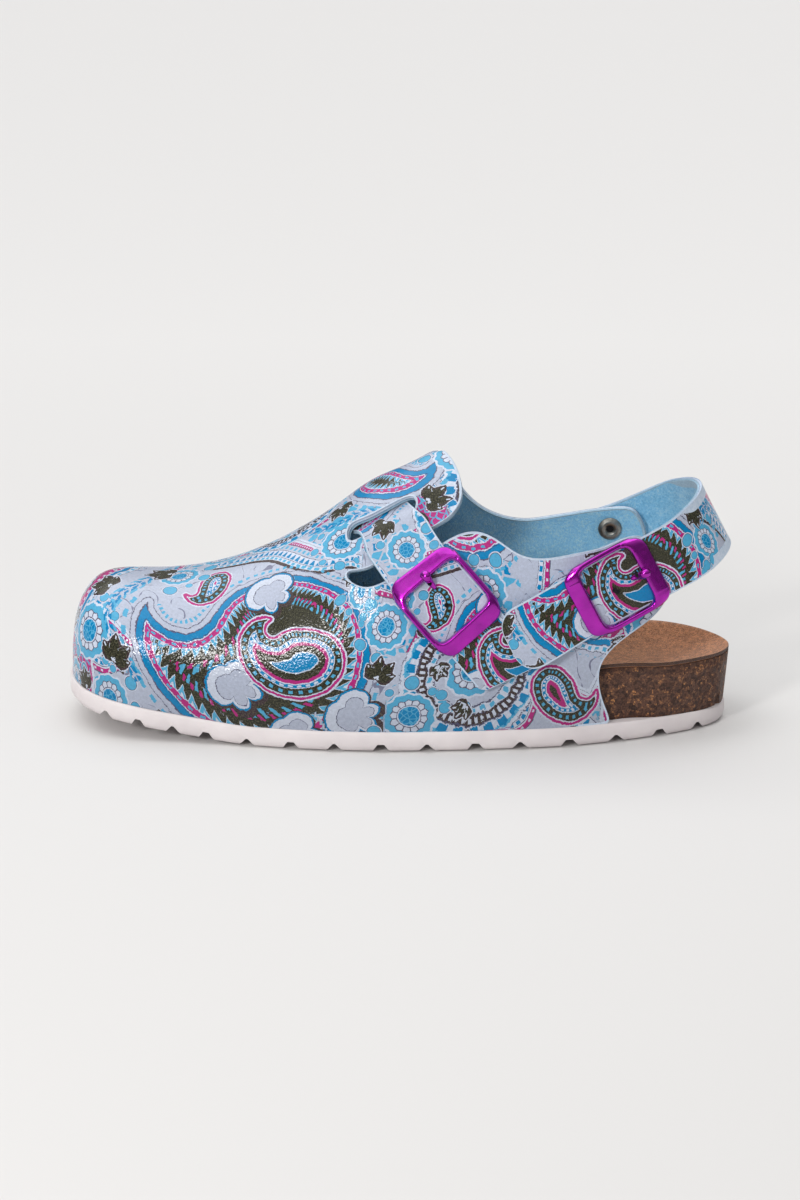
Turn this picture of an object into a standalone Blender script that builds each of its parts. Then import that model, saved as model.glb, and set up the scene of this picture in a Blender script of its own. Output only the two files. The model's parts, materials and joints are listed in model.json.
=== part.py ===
"""A slingback clog for the left foot.

The toe points to -X, the heel to +X, the outer side of the foot to -Y, and the floor is z = 0.
Tables and sizes are in millimetres. Each mesh is made in metres.
"""

import math
from collections import namedtuple

import bmesh
import bpy
import numpy as np
from mathutils import Matrix
from mathutils import Vector

MM = 0.001

# Driving sizes of the sole
GAP = 0.3
OUTSOLE_THICKNESS = 8.0
OUTSOLE_EDGE = 3.6
TOE_SPRING = 10.0
SPRING_START = -58.0
SPRING_POWER = 1.25
TOE_TIP = (-131.0, 13.0)
HEEL_END = (128.5, 4.5)
GROOVE_DEPTH = 3.3
GROOVE_WAVE = 2.6
LUG_EASE = 2.4
LUG_RISE = 0.5
INSOLE_THICKNESS = 1.3
CORK_INSET = 5.2
CORK_FLARE = 1.6

# Driving sizes of the upper
WALL = 2.4
UPPER_INSET = 1.3
RIDGE_FRONT = -108.0
FAN_START = -90.0
SLIT_FRONT_X = -20.0
FLAP_END_X = 16.0
QUARTER_END_X = 81.0
LIP_LIFT = 2.7

# Driving sizes of the straps and buckles
STRAP_WIDTH = 25.0
STRAP_THICKNESS = 2.0
FRAME_LENGTH = 34.4
FRAME_WIDTH = 26.2
FRAME_BOW = 2.8
WINDOW_LENGTH = 22.6
WINDOW_WIDTH = 24.8
FRAME_HEIGHT = 2.4
RIVET_RADIUS = 4.6
RIVET_HOLE = 1.5

# Grid counts
TOE_COLUMNS = 17
SLIT_COLUMNS = 6
SLOT_COLUMNS = 4
REAR_COLUMNS = 10
QUARTER_ROWS = 9
SLIT_ROWS = 1
LOW_FLAP_ROWS = 3
SLOT_ROWS = 1
HIGH_FLAP_ROWS = 3
UPPER_ROWS = QUARTER_ROWS + SLIT_ROWS + LOW_FLAP_ROWS + SLOT_ROWS + HIGH_FLAP_ROWS
SOLE_STATIONS = 46
BED_STATIONS = 34
BED_ROWS = 8
SECTION_STEPS = 160

OutlineRow = namedtuple("OutlineRow", "x outer inner")
SOLE_OUTLINE = [
    OutlineRow(-129.0, -3.0, 26.0),
    OutlineRow(-124.0, -14.5, 34.5),
    OutlineRow(-114.0, -23.5, 42.0),
    OutlineRow(-100.0, -28.6, 46.6),
    OutlineRow(-82.0, -31.6, 49.4),
    OutlineRow(-60.0, -36.4, 51.0),
    OutlineRow(-35.0, -41.6, 50.6),
    OutlineRow(-10.0, -43.8, 47.6),
    OutlineRow(15.0, -43.2, 43.2),
    OutlineRow(40.0, -41.0, 39.6),
    OutlineRow(63.0, -37.8, 38.4),
    OutlineRow(83.0, -31.6, 38.0),
    OutlineRow(100.0, -24.4, 35.6),
    OutlineRow(114.0, -16.4, 28.6),
    OutlineRow(124.0, -7.4, 17.6),
]

SectionRow = namedtuple("SectionRow", "x ridge_z ridge_y fullness")
SECTIONS = [
    SectionRow(-108.0, 56.8, 14.0, 2.8),
    SectionRow(-90.0, 57.0, 13.0, 2.6),
    SectionRow(-70.0, 61.0, 11.0, 2.3),
    SectionRow(-50.0, 69.2, 9.0, 2.1),
    SectionRow(-30.0, 81.3, 7.5, 1.95),
    SectionRow(-10.0, 96.0, 6.0, 1.88),
    SectionRow(2.0, 101.6, 5.4, 1.85),
    SectionRow(15.0, 108.0, 5.0, 1.88),
    SectionRow(40.0, 112.0, 4.0, 2.1),
    SectionRow(76.0, 114.0, 4.0, 2.6),
    SectionRow(110.0, 114.0, 4.0, 2.6),
]

# The edges of the throat slit and of the strap slot, as heights
CutRow = namedtuple("CutRow", "x slit_low slit_high slot_low slot_high")
CUTS = [
    CutRow(-20.0, 64.0, 67.2, 76.8, 80.8),
    CutRow(-14.0, 61.9, 68.6, 79.6, 84.0),
    CutRow(-6.0, 64.2, 72.8, 83.6, 88.2),
    CutRow(4.0, 70.6, 79.4, 88.8, 93.2),
    CutRow(16.0, 78.2, 87.2, 95.0, 98.8),
]

# How far the flap's rear edge stands behind its column, from its lower corner to the ridge
FlapRow = namedtuple("FlapRow", "share reach")
FLAP_EDGE = [
    FlapRow(0.0, 1.6),
    FlapRow(0.12, 5.4),
    FlapRow(0.28, 7.2),
    FlapRow(0.48, 6.6),
    FlapRow(0.68, 4.6),
    FlapRow(0.85, 2.0),
    FlapRow(1.0, 0.0),
]

CollarRow = namedtuple("CollarRow", "x z")
OUTER_COLLAR = [
    CollarRow(16.0, 78.2),
    CollarRow(21.8, 81.3),
    CollarRow(28.5, 82.8),
    CollarRow(33.2, 81.9),
    CollarRow(39.8, 78.4),
    CollarRow(46.2, 74.4),
    CollarRow(54.2, 73.3),
    CollarRow(66.3, 74.8),
    CollarRow(78.0, 76.6),
    CollarRow(86.0, 79.4),
    CollarRow(96.0, 80.0),
]
INNER_COLLAR = [
    CollarRow(16.0, 108.2),
    CollarRow(20.0, 97.0),
    CollarRow(24.3, 88.0),
    CollarRow(30.0, 81.4),
    CollarRow(39.9, 75.6),
    CollarRow(47.9, 73.8),
    CollarRow(63.9, 75.4),
    CollarRow(79.8, 77.8),
    CollarRow(96.0, 78.8),
]

# The rear edge of each quarter, from the sole up to the end of its tab
RearRow = namedtuple("RearRow", "share outer inner")
REAR_EDGE = [
    RearRow(0.0, 81.0, 82.0),
    RearRow(0.13, 77.6, 78.6),
    RearRow(0.26, 76.2, 77.4),
    RearRow(0.35, 77.6, 78.8),
    RearRow(0.43, 82.8, 83.4),
    RearRow(0.52, 92.4, 91.0),
    RearRow(0.6, 99.8, 96.0),
    RearRow(0.7, 102.4, 98.0),
    RearRow(0.84, 101.6, 97.6),
    RearRow(0.94, 98.4, 95.4),
    RearRow(1.0, 94.0, 91.6),
]

# The top of the insole, along the middle and along its rim
BedRow = namedtuple("BedRow", "x middle rim")
BED = [
    BedRow(-127.0, 27.4, 27.6),
    BedRow(-116.0, 21.6, 25.0),
    BedRow(-96.0, 18.4, 22.8),
    BedRow(-62.0, 16.2, 21.0),
    BedRow(-22.0, 17.6, 23.0),
    BedRow(18.0, 21.4, 27.6),
    BedRow(58.0, 23.0, 30.2),
    BedRow(94.0, 22.6, 30.4),
    BedRow(116.0, 24.2, 30.2),
    BedRow(129.5, 29.6, 29.8),
]

# Tread notches: where each groove meets the outer edge, and how wide its roof is
GrooveRow = namedtuple("GrooveRow", "x mouth roof")
GROOVES = [
    GrooveRow(-116.7, 5.4, 1.0),
    GrooveRow(-103.8, 5.6, 2.2),
    GrooveRow(-90.0, 6.0, 1.0),
    GrooveRow(-76.7, 6.2, 2.4),
    GrooveRow(-60.3, 6.5, 1.0),
    GrooveRow(-42.7, 6.8, 2.6),
    GrooveRow(-25.5, 6.5, 1.0),
    GrooveRow(-7.4, 6.8, 2.6),
    GrooveRow(10.2, 6.5, 1.0),
    GrooveRow(28.6, 6.8, 2.6),
    GrooveRow(45.4, 6.5, 1.0),
    GrooveRow(63.8, 6.8, 2.6),
    GrooveRow(81.4, 6.5, 1.0),
    GrooveRow(98.3, 6.2, 2.4),
    GrooveRow(114.3, 5.6, 1.0),
]

# The middle line of the instep strap, from inside the slot down the outer side.
# Lift is the height of its underside over the upper.
StrapRow = namedtuple("StrapRow", "x z lift")
INSTEP_STRAP = [
    StrapRow(-15.5, 89.9, -5.7),
    StrapRow(-12.0, 89.8, -5.4),
    StrapRow(-8.6, 88.2, -3.8),
    StrapRow(-6.8, 86.6, -2.0),
    StrapRow(-5.0, 84.4, 0.7),
    StrapRow(-3.2, 82.1, 0.9),
    StrapRow(-1.0, 79.1, 0.6),
    StrapRow(5.8, 70.4, 0.5),
    StrapRow(17.2, 58.4, 0.5),
    StrapRow(28.2, 46.6, 0.5),
    StrapRow(43.2, 29.2, 0.5),
]
INSTEP_BUCKLE_X = 17.6
SLOT_SKEW = -0.12
INSTEP_END_SKEW = 0.28
TAIL_LENGTH = 19.5
TAIL_WIDTH = 21.4

# The middle line of the back strap, from its free end on the outer side round the heel
SlingRow = namedtuple("SlingRow", "x y z on_upper lift")
BACK_STRAP = [
    SlingRow(41.6, -41.5, 41.8, 1.0, 3.0),
    SlingRow(52.0, -40.6, 47.2, 1.0, 2.9),
    SlingRow(62.0, -39.0, 52.5, 1.0, 0.9),
    SlingRow(75.0, -36.5, 59.2, 1.0, 0.5),
    SlingRow(88.0, -33.0, 65.6, 1.0, 0.5),
    SlingRow(100.0, -29.0, 71.2, 0.6, 0.6),
    SlingRow(111.0, -22.0, 76.4, 0.0, 0.0),
    SlingRow(119.0, -11.0, 80.8, 0.0, 0.0),
    SlingRow(122.4, 4.0, 82.8, 0.0, 0.0),
    SlingRow(119.6, 19.0, 81.6, 0.0, 0.0),
    SlingRow(112.0, 29.6, 78.0, 0.0, 0.0),
    SlingRow(100.0, 35.6, 72.6, 0.6, 0.6),
    SlingRow(88.0, 37.0, 67.6, 1.0, 0.5),
    SlingRow(76.0, 37.6, 63.2, 1.0, 0.5),
    SlingRow(69.0, 38.0, 60.8, 1.0, 0.5),
]
BACK_STRAP_LEAN = (-0.46, 0.0, 0.888)
BACK_BUCKLE_X = 82.6
RIVET_AT = (83.6, 71.4)

COLOURS = {
    "outsole": (0.88, 0.86, 0.84),
    "footbed": (0.21, 0.12, 0.08),
    "insole": (0.42, 0.25, 0.14),
    "upper": (0.53, 0.62, 0.79),
    "instep_strap": (0.53, 0.62, 0.79),
    "back_strap": (0.53, 0.62, 0.79),
    "instep_buckle": (0.42, 0.02, 0.45),
    "instep_prong": (0.42, 0.02, 0.45),
    "back_buckle": (0.42, 0.02, 0.45),
    "back_prong": (0.42, 0.02, 0.45),
    "rivet_ring": (0.35, 0.35, 0.34),
    "rivet_cap": (0.35, 0.35, 0.34),
}
METALS = {"instep_buckle", "instep_prong", "back_buckle", "back_prong", "rivet_ring", "rivet_cap"}


def smooth(knots, values, at):
    """Values between the rows of a table, on a smooth curve through the rows."""
    knots = np.asarray(knots, float)
    values = np.asarray(values, float)
    at = np.clip(np.asarray(at, float), knots[0], knots[-1])
    slopes = np.gradient(values, knots, axis=0)
    span = np.clip(np.searchsorted(knots, at, side="right") - 1, 0, len(knots) - 2)
    width = knots[span + 1] - knots[span]
    part = (at - knots[span]) / width
    if values.ndim > 1:
        width = np.expand_dims(width, -1)
        part = np.expand_dims(part, -1)
    rise = part * part * (3.0 - 2.0 * part)
    start = part * (1.0 - part) ** 2 * width
    end = part * part * (part - 1.0) * width
    between = values[span] * (1.0 - rise) + values[span + 1] * rise
    return between + slopes[span] * start + slopes[span + 1] * end


def column(rows, name):
    return np.array([getattr(row, name) for row in rows], float)


def look_up(rows, name, x):
    return smooth(column(rows, "x"), column(rows, name), x)


def ease(value, low, high):
    part = np.clip((value - low) / (high - low), 0.0, 1.0)
    return part * part * (3.0 - 2.0 * part)


def lengths_along(points):
    steps = np.linalg.norm(np.diff(points, axis=0), axis=1)
    return np.concatenate([[0.0], np.cumsum(steps)])


def sole_loop():
    """The outsole's outline, from the toe tip round the outer side, the heel and the inner side."""
    outer = [(row.x, row.outer) for row in SOLE_OUTLINE]
    inner = [(row.x, row.inner) for row in reversed(SOLE_OUTLINE)]
    points = np.array([TOE_TIP] + outer + [HEEL_END] + inner)
    turns = np.concatenate([points, points, points])
    knots = lengths_along(turns)
    count = len(points)
    at = np.linspace(knots[count], knots[2 * count], 1200, endpoint=False)
    return smooth(knots, turns, at)


LOOP = sole_loop()


def sole_edge(inset):
    """Both sides of the outline, moved inwards, each from the toe tip to the heel end."""
    ahead = np.roll(LOOP, -1, axis=0) - np.roll(LOOP, 1, axis=0)
    ahead /= np.linalg.norm(ahead, axis=1)[:, None]
    inset = np.broadcast_to(inset, len(LOOP))[:, None]
    loop = LOOP + np.stack([-ahead[:, 1], ahead[:, 0]], axis=1) * inset
    loop = np.roll(loop, -int(np.argmin(loop[:, 0])), axis=0)
    heel = int(np.argmax(loop[:, 0]))
    inner = np.concatenate([loop[heel:], loop[:1]])[::-1]
    return {"outer": loop[: heel + 1], "inner": inner}


def edge_y(edge, side, x):
    return np.interp(x, edge[side][:, 0], edge[side][:, 1])


def spring(x):
    share = np.clip((SPRING_START - np.asarray(x, float)) / (SPRING_START - TOE_TIP[0]), 0.0, None)
    return TOE_SPRING * share**SPRING_POWER


def seat(x):
    """The height at which the upper and the cork start, just over the outsole."""
    return OUTSOLE_THICKNESS + GAP + spring(x)


UPPER_EDGE = sole_edge(UPPER_INSET)
UPPER_TIP_X = UPPER_EDGE["outer"][0, 0]


def ridge_x(base_x):
    """Ribs stand square to the length, and fan out towards the toe."""
    share = np.clip((FAN_START - base_x) / (FAN_START - UPPER_TIP_X), 0.0, 1.0)
    reach = FAN_START - UPPER_TIP_X
    kept = (FAN_START - RIDGE_FRONT) / reach
    return np.where(base_x < FAN_START, FAN_START - reach * share * (1.0 - share * (1.0 - kept)), base_x)


def straight_edge_y(side, x):
    """The upper's edge on the sole. Behind the quarters, its tabs run on in a gentler line."""
    y = edge_y(UPPER_EDGE, side, min(x, QUARTER_END_X))
    slope = 0.26 if side == "outer" else -0.12
    return y + slope * max(x - QUARTER_END_X, 0.0)


def rib(side, base):
    """A section of the upper over one point of its edge, from the sole to the ridge."""
    top_x = float(ridge_x(base[0]))
    top = np.array([top_x, float(look_up(SECTIONS, "ridge_y", top_x))])
    top_z = float(look_up(SECTIONS, "ridge_z", top_x))
    low_z = float(seat(base[0]))
    power = 2.0 / float(look_up(SECTIONS, "fullness", top_x))
    angle = np.linspace(0.0, math.pi / 2.0, SECTION_STEPS + 1)
    across = 1.0 - np.cos(angle) ** power
    across[-1] = 1.0
    up = np.sin(angle) ** power
    plan = np.asarray(base)[None, :] + (top - base)[None, :] * across[:, None]
    return np.column_stack([plan, low_z + (top_z - low_z) * up])


def section(side, x):
    """The rib that stands at x, anywhere behind the toe."""
    return rib(side, np.array([x, straight_edge_y(side, x)]))


def on_rib(points, at):
    lengths = lengths_along(points)
    return np.column_stack([np.interp(at, lengths, points[:, k]) for k in range(3)])


def length_at_height(points, z):
    return float(np.interp(z, points[:, 2], lengths_along(points)))


def outward(points, index):
    """The direction away from the foot, square to a rib."""
    low = points[max(index - 2, 0)]
    high = points[min(index + 2, len(points) - 1)]
    along = high - low
    away = np.array([0.0, along[2], -along[1]])
    if points[0, 1] < points[-1, 1]:
        away = -away
    return away / np.linalg.norm(away)


def foot_point(side, point):
    """The nearest point of the upper in the section at the same x, and the direction away from it."""
    points = section(side, point[0])
    start = points[:-1, 1:]
    step = points[1:, 1:] - start
    share = np.einsum("ij,ij->i", point[1:] - start, step) / np.einsum("ij,ij->i", step, step)
    share = np.clip(share, 0.0, 1.0)
    near = start + step * share[:, None]
    best = int(np.argmin(np.linalg.norm(near - point[1:], axis=1)))
    return np.array([point[0], near[best, 0], near[best, 1]]), outward(points, best)


def edge_columns(side):
    """Plan points on the upper's edge, one for each column of its grid."""
    edge = UPPER_EDGE[side]
    lengths = lengths_along(edge)
    stops = [0.0]
    for x in (SLIT_FRONT_X, FLAP_END_X, QUARTER_END_X):
        stops.append(float(np.interp(x, edge[:, 0], lengths)))
    counts = (TOE_COLUMNS, SLIT_COLUMNS, REAR_COLUMNS)
    spans = [np.linspace(stops[k], stops[k + 1], counts[k] + 1)[1:] for k in range(3)]
    at = np.concatenate([[0.0]] + spans)
    return np.column_stack([np.interp(at, lengths, edge[:, k]) for k in range(2)])


def rear_reach(side, index, share):
    """How far the grid is pulled back at one height, so that its last column is the rear edge."""
    first = TOE_COLUMNS + SLIT_COLUMNS + 1
    last = TOE_COLUMNS + SLIT_COLUMNS + REAR_COLUMNS
    weight = max(index - first, 0) / (last - first)
    edge = float(smooth(column(REAR_EDGE, "share"), column(REAR_EDGE, side), share))
    return weight**1.5 * (edge - QUARTER_END_X)


def rear_column(side, base, index, rows, collar):
    """A column of a quarter, from the sole up to the collar."""
    points = []
    for row in range(rows + 1):
        share = row / rows
        x = base[0] + rear_reach(side, index, share)
        top_x = base[0] + rear_reach(side, index, 1.0)
        line = section(side, x)
        top = length_at_height(line, float(look_up(collar, "z", top_x)))
        points.append(on_rib(line, [top * share])[0])
    return np.array(points)


def row_shares(counts, stops):
    spans = [np.linspace(stops[k], stops[k + 1], counts[k] + 1)[1:] for k in range(len(counts))]
    return np.concatenate([[0.0]] + spans)


ROW_COUNTS = (QUARTER_ROWS, SLIT_ROWS, LOW_FLAP_ROWS, SLOT_ROWS, HIGH_FLAP_ROWS)
EVEN_STOPS = np.concatenate([[0.0], np.cumsum(ROW_COUNTS)]) / UPPER_ROWS


def cut_stops(line, x):
    """Where the slit and the slot cross a rib, as shares of its length."""
    total = lengths_along(line)[-1]
    names = ("slit_low", "slit_high", "slot_low", "slot_high")
    found = [length_at_height(line, float(look_up(CUTS, name, x))) / total for name in names]
    return np.array([0.0] + found + [1.0])


def front_columns():
    """The outer and inner columns that meet at the ridge, from the toe to the end of the flap."""
    outer_base = edge_columns("outer")
    inner_base = edge_columns("inner")
    cut_line = rib("outer", outer_base[TOE_COLUMNS])
    first_cut = cut_stops(cut_line, SLIT_FRONT_X)
    outer = []
    inner = []
    for index in range(TOE_COLUMNS + SLIT_COLUMNS + 1):
        line = rib("outer", outer_base[index])
        if index < TOE_COLUMNS:
            stops = EVEN_STOPS + (first_cut - EVEN_STOPS) * (index / TOE_COLUMNS) ** 2
        else:
            stops = cut_stops(line, outer_base[index][0])
        shares = row_shares(ROW_COUNTS, stops)
        points = on_rib(line, shares * lengths_along(line)[-1])
        outer.append(shaped_flap(points, index, shares, stops))
        other = rib("inner", inner_base[index])
        other[-1] = outer[-1][-1]
        even = np.linspace(0.0, 1.0, UPPER_ROWS + 1)
        inner.append(on_rib(other, even * lengths_along(other)[-1]))
    inner[0] = outer[0]
    return outer, inner


def shaped_flap(points, index, shares, stops):
    """Draws the flap's lower corner back, and lifts the lip over the strap slot."""
    points = points.copy()
    reach = max(index - (TOE_COLUMNS + SLIT_COLUMNS - 3), 0) / 3.0
    slot = ease(index, TOE_COLUMNS - 2, TOE_COLUMNS + 1)
    slot *= 1.0 - ease(index, TOE_COLUMNS + SLOT_COLUMNS - 1, TOE_COLUMNS + SLOT_COLUMNS + 2)
    for row in range(QUARTER_ROWS + SLIT_ROWS, UPPER_ROWS):
        share = (shares[row] - stops[2]) / (1.0 - stops[2])
        away = outward(points, row)
        drawn_back = smooth(column(FLAP_EDGE, "share"), column(FLAP_EDGE, "reach"), share)
        points[row, 0] += reach**1.4 * float(drawn_back)
        if shares[row] >= stops[4] - 1e-6:
            lift = LIP_LIFT * slot * (1.0 - (shares[row] - stops[4]) / (1.0 - stops[4])) ** 1.5
            points[row] += away * lift
    return points


def upper_grid():
    """Columns of points for both sides, each with the faces that the slit and the slot leave."""
    outer, inner = front_columns()
    outer_base = edge_columns("outer")
    inner_base = edge_columns("inner")
    front = TOE_COLUMNS + SLIT_COLUMNS
    for index in range(front + 1, front + REAR_COLUMNS + 1):
        outer.append(rear_column("outer", outer_base[index], index, QUARTER_ROWS, OUTER_COLLAR))
        inner.append(rear_column("inner", inner_base[index], index, UPPER_ROWS, INNER_COLLAR))
    return outer, inner


def is_open(index, row):
    """The cells of the outer side that the slit, the slot and the open heel leave out."""
    front = TOE_COLUMNS + SLIT_COLUMNS
    slit = QUARTER_ROWS <= row < QUARTER_ROWS + SLIT_ROWS
    slot_row = QUARTER_ROWS + SLIT_ROWS + LOW_FLAP_ROWS
    slot = slot_row <= row < slot_row + SLOT_ROWS
    if index >= front:
        return row >= QUARTER_ROWS
    if slit and index >= TOE_COLUMNS:
        return True
    return slot and TOE_COLUMNS <= index < TOE_COLUMNS + SLOT_COLUMNS


def add_sheet(shape, columns, left_out, turned):
    """Adds a grid of faces to a mesh under construction."""
    made = [[shape.verts.new(Vector(point) * MM) for point in points] for points in columns]
    for index in range(len(made) - 1):
        rows = min(len(made[index]), len(made[index + 1])) - 1
        for row in range(rows):
            if left_out(index, row):
                continue
            corners = [
                made[index][row],
                made[index + 1][row],
                made[index + 1][row + 1],
                made[index][row + 1],
            ]
            shape.faces.new(corners[::-1] if turned else corners)


def thicken(shape, thickness, floor):
    """Gives a sheet a second face inside the first, and closes the edges between them."""
    shape.normal_update()
    faces = list(shape.faces)
    borders = [edge for edge in shape.edges if edge.is_boundary]
    inside = {}
    for vert in list(shape.verts):
        step = vert.normal * thickness * min(vert.calc_shell_factor(), 1.6)
        place = vert.co - step
        place.z = max(place.z, floor(place.x / MM) * MM)
        inside[vert] = shape.verts.new(place)
    for face in faces:
        shape.faces.new([inside[vert] for vert in reversed(face.verts)])
    for edge in borders:
        first, second = edge.verts
        loop = edge.link_loops[0]
        if loop.vert is not first:
            first, second = second, first
        shape.faces.new([second, first, inside[first], inside[second]])


def finished(name, shape):
    """Turns a mesh under construction into a named object with its own material."""
    bmesh.ops.remove_doubles(shape, verts=list(shape.verts), dist=0.00001)
    bmesh.ops.dissolve_degenerate(shape, edges=list(shape.edges), dist=0.00001)
    bmesh.ops.recalc_face_normals(shape, faces=list(shape.faces))
    mesh = bpy.data.meshes.new(name)
    shape.to_mesh(mesh)
    shape.free()
    thing = bpy.data.objects.new(name, mesh)
    bpy.context.scene.collection.objects.link(thing)
    paint = bpy.data.materials.new(name)
    paint.use_nodes = True
    surface = paint.node_tree.nodes["Principled BSDF"]
    surface.inputs["Base Color"].default_value = (*COLOURS.get(name, (0.5, 0.5, 0.5)), 1.0)
    surface.inputs["Roughness"].default_value = 0.35 if name in METALS else 0.7
    surface.inputs["Metallic"].default_value = 1.0 if name in METALS else 0.0
    mesh.materials.append(paint)
    return thing


def make_upper():
    outer, inner = upper_grid()
    shape = bmesh.new()
    add_sheet(shape, outer, is_open, False)
    add_sheet(shape, inner, lambda index, row: False, True)
    bmesh.ops.remove_doubles(shape, verts=list(shape.verts), dist=0.00002)
    loose = [vert for vert in shape.verts if not vert.link_faces]
    bmesh.ops.delete(shape, geom=loose, context="VERTS")
    thicken(shape, WALL * MM, seat)
    return finished("upper", shape)


def ladder(edge, count, ends):
    """Matching points of both sides of an outline, closer together towards its ends."""
    low = edge["outer"][0, 0]
    high = edge["outer"][-1, 0]
    share = 0.5 - 0.5 * np.cos(np.linspace(0.0, math.pi, count + 1))
    x = low + (high - low) * (share * ends + np.linspace(0.0, 1.0, count + 1) * (1.0 - ends))
    return x, edge_y(edge, "outer", x), edge_y(edge, "inner", x)


def crossed(x, low_y, high_y, rows, height):
    """Columns of points across a sole, at a height worked out from x and the share across."""
    columns = []
    for k in range(len(x)):
        share = np.linspace(-1.0, 1.0, rows + 1)
        y = low_y[k] + (high_y[k] - low_y[k]) * (share + 1.0) / 2.0
        if high_y[k] - low_y[k] < 0.01:
            share = np.ones(rows + 1)
        columns.append(np.column_stack([np.full(rows + 1, x[k]), y, height(x[k], share)]))
    return columns


def close_sides(shape, low, high):
    """Walls between the borders of two sheets of the same size."""
    for side in (0, -1):
        lower = np.array([points[side] for points in low])
        upper = np.array([points[side] for points in high])
        add_sheet(shape, [lower, upper], lambda index, row: False, side == 0)


def layer(name, low, high):
    """A solid between a lower and an upper sheet that share an outline."""
    shape = bmesh.new()
    add_sheet(shape, low, lambda index, row: False, True)
    add_sheet(shape, high, lambda index, row: False, False)
    close_sides(shape, low, high)
    for end in (0, -1):
        lower = np.array(low[end])
        upper = np.array(high[end])
        add_sheet(shape, [lower, upper], lambda index, row: False, end != 0)
    return finished(name, shape)


def groove_cutter():
    """All the tread grooves as one hidden object: waves across the sole, eased into the lugs."""
    shape = bmesh.new()
    y = np.linspace(-60.0, 68.0, 17)
    for row in GROOVES:
        wave = GROOVE_WAVE * np.sin((y + 44.0) / 13.0)
        floor = float(spring(row.x))
        lean = float(spring(row.x + 1.0) - spring(row.x - 1.0)) / 2.0
        lip = row.mouth / 2.0 + LUG_EASE
        right = [(lip, -1.2), (lip, -0.02), (row.mouth / 2.0, LUG_RISE), (row.roof / 2.0, GROOVE_DEPTH)]
        profile = right + [(-dx, dz) for dx, dz in right[::-1]]
        rings = []
        for k in range(len(y)):
            ring = [(row.x + wave[k] + dx, y[k], floor + dz + lean * (wave[k] + dx)) for dx, dz in profile]
            rings.append([shape.verts.new(Vector(point) * MM) for point in ring])
        for first, second in zip(rings, rings[1:]):
            for k in range(len(profile)):
                after = (k + 1) % len(profile)
                shape.faces.new([first[k], first[after], second[after], second[k]])
        shape.faces.new(rings[0][::-1])
        shape.faces.new(rings[-1])
    cutter = finished("tread_cutter", shape)
    cutter.hide_render = True
    cutter.display_type = "WIRE"
    return cutter


def make_outsole():
    """The foam sole: level under the foot, rising to the toe, with rounded upper and lower edges."""
    shape = bmesh.new()
    rings = []
    profile = [
        (OUTSOLE_EDGE, 0.0),
        (1.3, 0.55),
        (0.3, 1.6),
        (0.0, 3.0),
        (0.0, OUTSOLE_THICKNESS - 1.2),
        (0.7, OUTSOLE_THICKNESS),
    ]
    for inset, height in profile:
        x, outer, inner = ladder(sole_edge(inset), SOLE_STATIONS, 0.82)
        z = height + spring(x)
        around = np.concatenate([np.column_stack([x, outer, z]), np.column_stack([x, inner, z])[-2:0:-1]])
        rings.append(np.concatenate([around, around[:1]]))
    add_sheet(shape, rings, lambda index, row: False, True)
    for points, turned in ((rings[0], True), (rings[-1], False)):
        outer = points[: SOLE_STATIONS + 1]
        inner = np.concatenate([points[:1], points[SOLE_STATIONS:-1][::-1]])
        add_sheet(shape, list(np.stack([outer, inner], axis=1)), lambda index, row: False, turned)
    outsole = finished("outsole", shape)
    cut = outsole.modifiers.new("tread", "BOOLEAN")
    cut.operation = "DIFFERENCE"
    cut.solver = "EXACT"
    cut.object = groove_cutter()
    return outsole


def bed_height(drop):
    def height(x, share):
        middle = float(look_up(BED, "middle", x))
        rim = float(look_up(BED, "rim", x))
        return middle + (rim - middle) * np.abs(share) ** 2.6 - drop
    return height


def cork_edge(extra):
    """The cork keeps inside the upper, and comes out to the edge of the sole at the heel."""
    heel = ease(LOOP[:, 0], 86.0, 104.0)
    return sole_edge(CORK_INSET + (0.5 - CORK_INSET) * heel - extra * heel)


def make_bed():
    """The cork midsole and the insole that covers it."""
    x, outer, inner = ladder(cork_edge(0.0), BED_STATIONS, 0.8)
    low = crossed(x, outer, inner, BED_ROWS, lambda place, share: seat(place) + 0.0 * share)
    x, outer, inner = ladder(cork_edge(CORK_FLARE), BED_STATIONS, 0.8)
    high = crossed(x, outer, inner, BED_ROWS, bed_height(INSOLE_THICKNESS + 1.5 * GAP))
    layer("footbed", low, high)
    low = crossed(x, outer, inner, BED_ROWS, bed_height(INSOLE_THICKNESS))
    high = crossed(x, outer, inner, BED_ROWS, bed_height(0.0))
    layer("insole", low, high)


class Band:
    """A strap's path: places on it are given along it, across it and over its underside."""

    def __init__(self, points, lifts, place):
        self.points = np.asarray(points, float)
        self.knots = lengths_along(self.points)
        self.lifts = np.asarray(lifts, float)
        self.place = place
        self.length = self.knots[-1]

    def middle(self, at):
        return smooth(self.knots, self.points, at)

    def ahead(self, at):
        step = self.middle(min(at + 0.5, self.length)) - self.middle(max(at - 0.5, 0.0))
        return step / np.linalg.norm(step)

    def lift(self, at):
        return float(smooth(self.knots, self.lifts, at))

    def at_x(self, x):
        """The first place along the path that reaches x."""
        dense = np.linspace(0.0, self.length, 600)
        return float(dense[int(np.argmax(self.middle(dense)[:, 0] >= x))])

    def point(self, along, across, over):
        return self.place(self, along, across, over)


def on_outer_side(band, along, across, over):
    """A place on the instep strap, which lies on the outer side of the upper."""
    kept = min(max(along, 0.0), band.length)
    middle = band.middle(kept)
    ahead = band.ahead(kept)
    foot, away = foot_point("outer", middle)
    side = np.cross(away, ahead)
    side /= np.linalg.norm(side)
    target = foot + side * across + ahead * (along - kept)
    foot, away = foot_point("outer", target)
    return foot + away * (band.lift(kept + SLOT_SKEW * across) + over)


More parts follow.
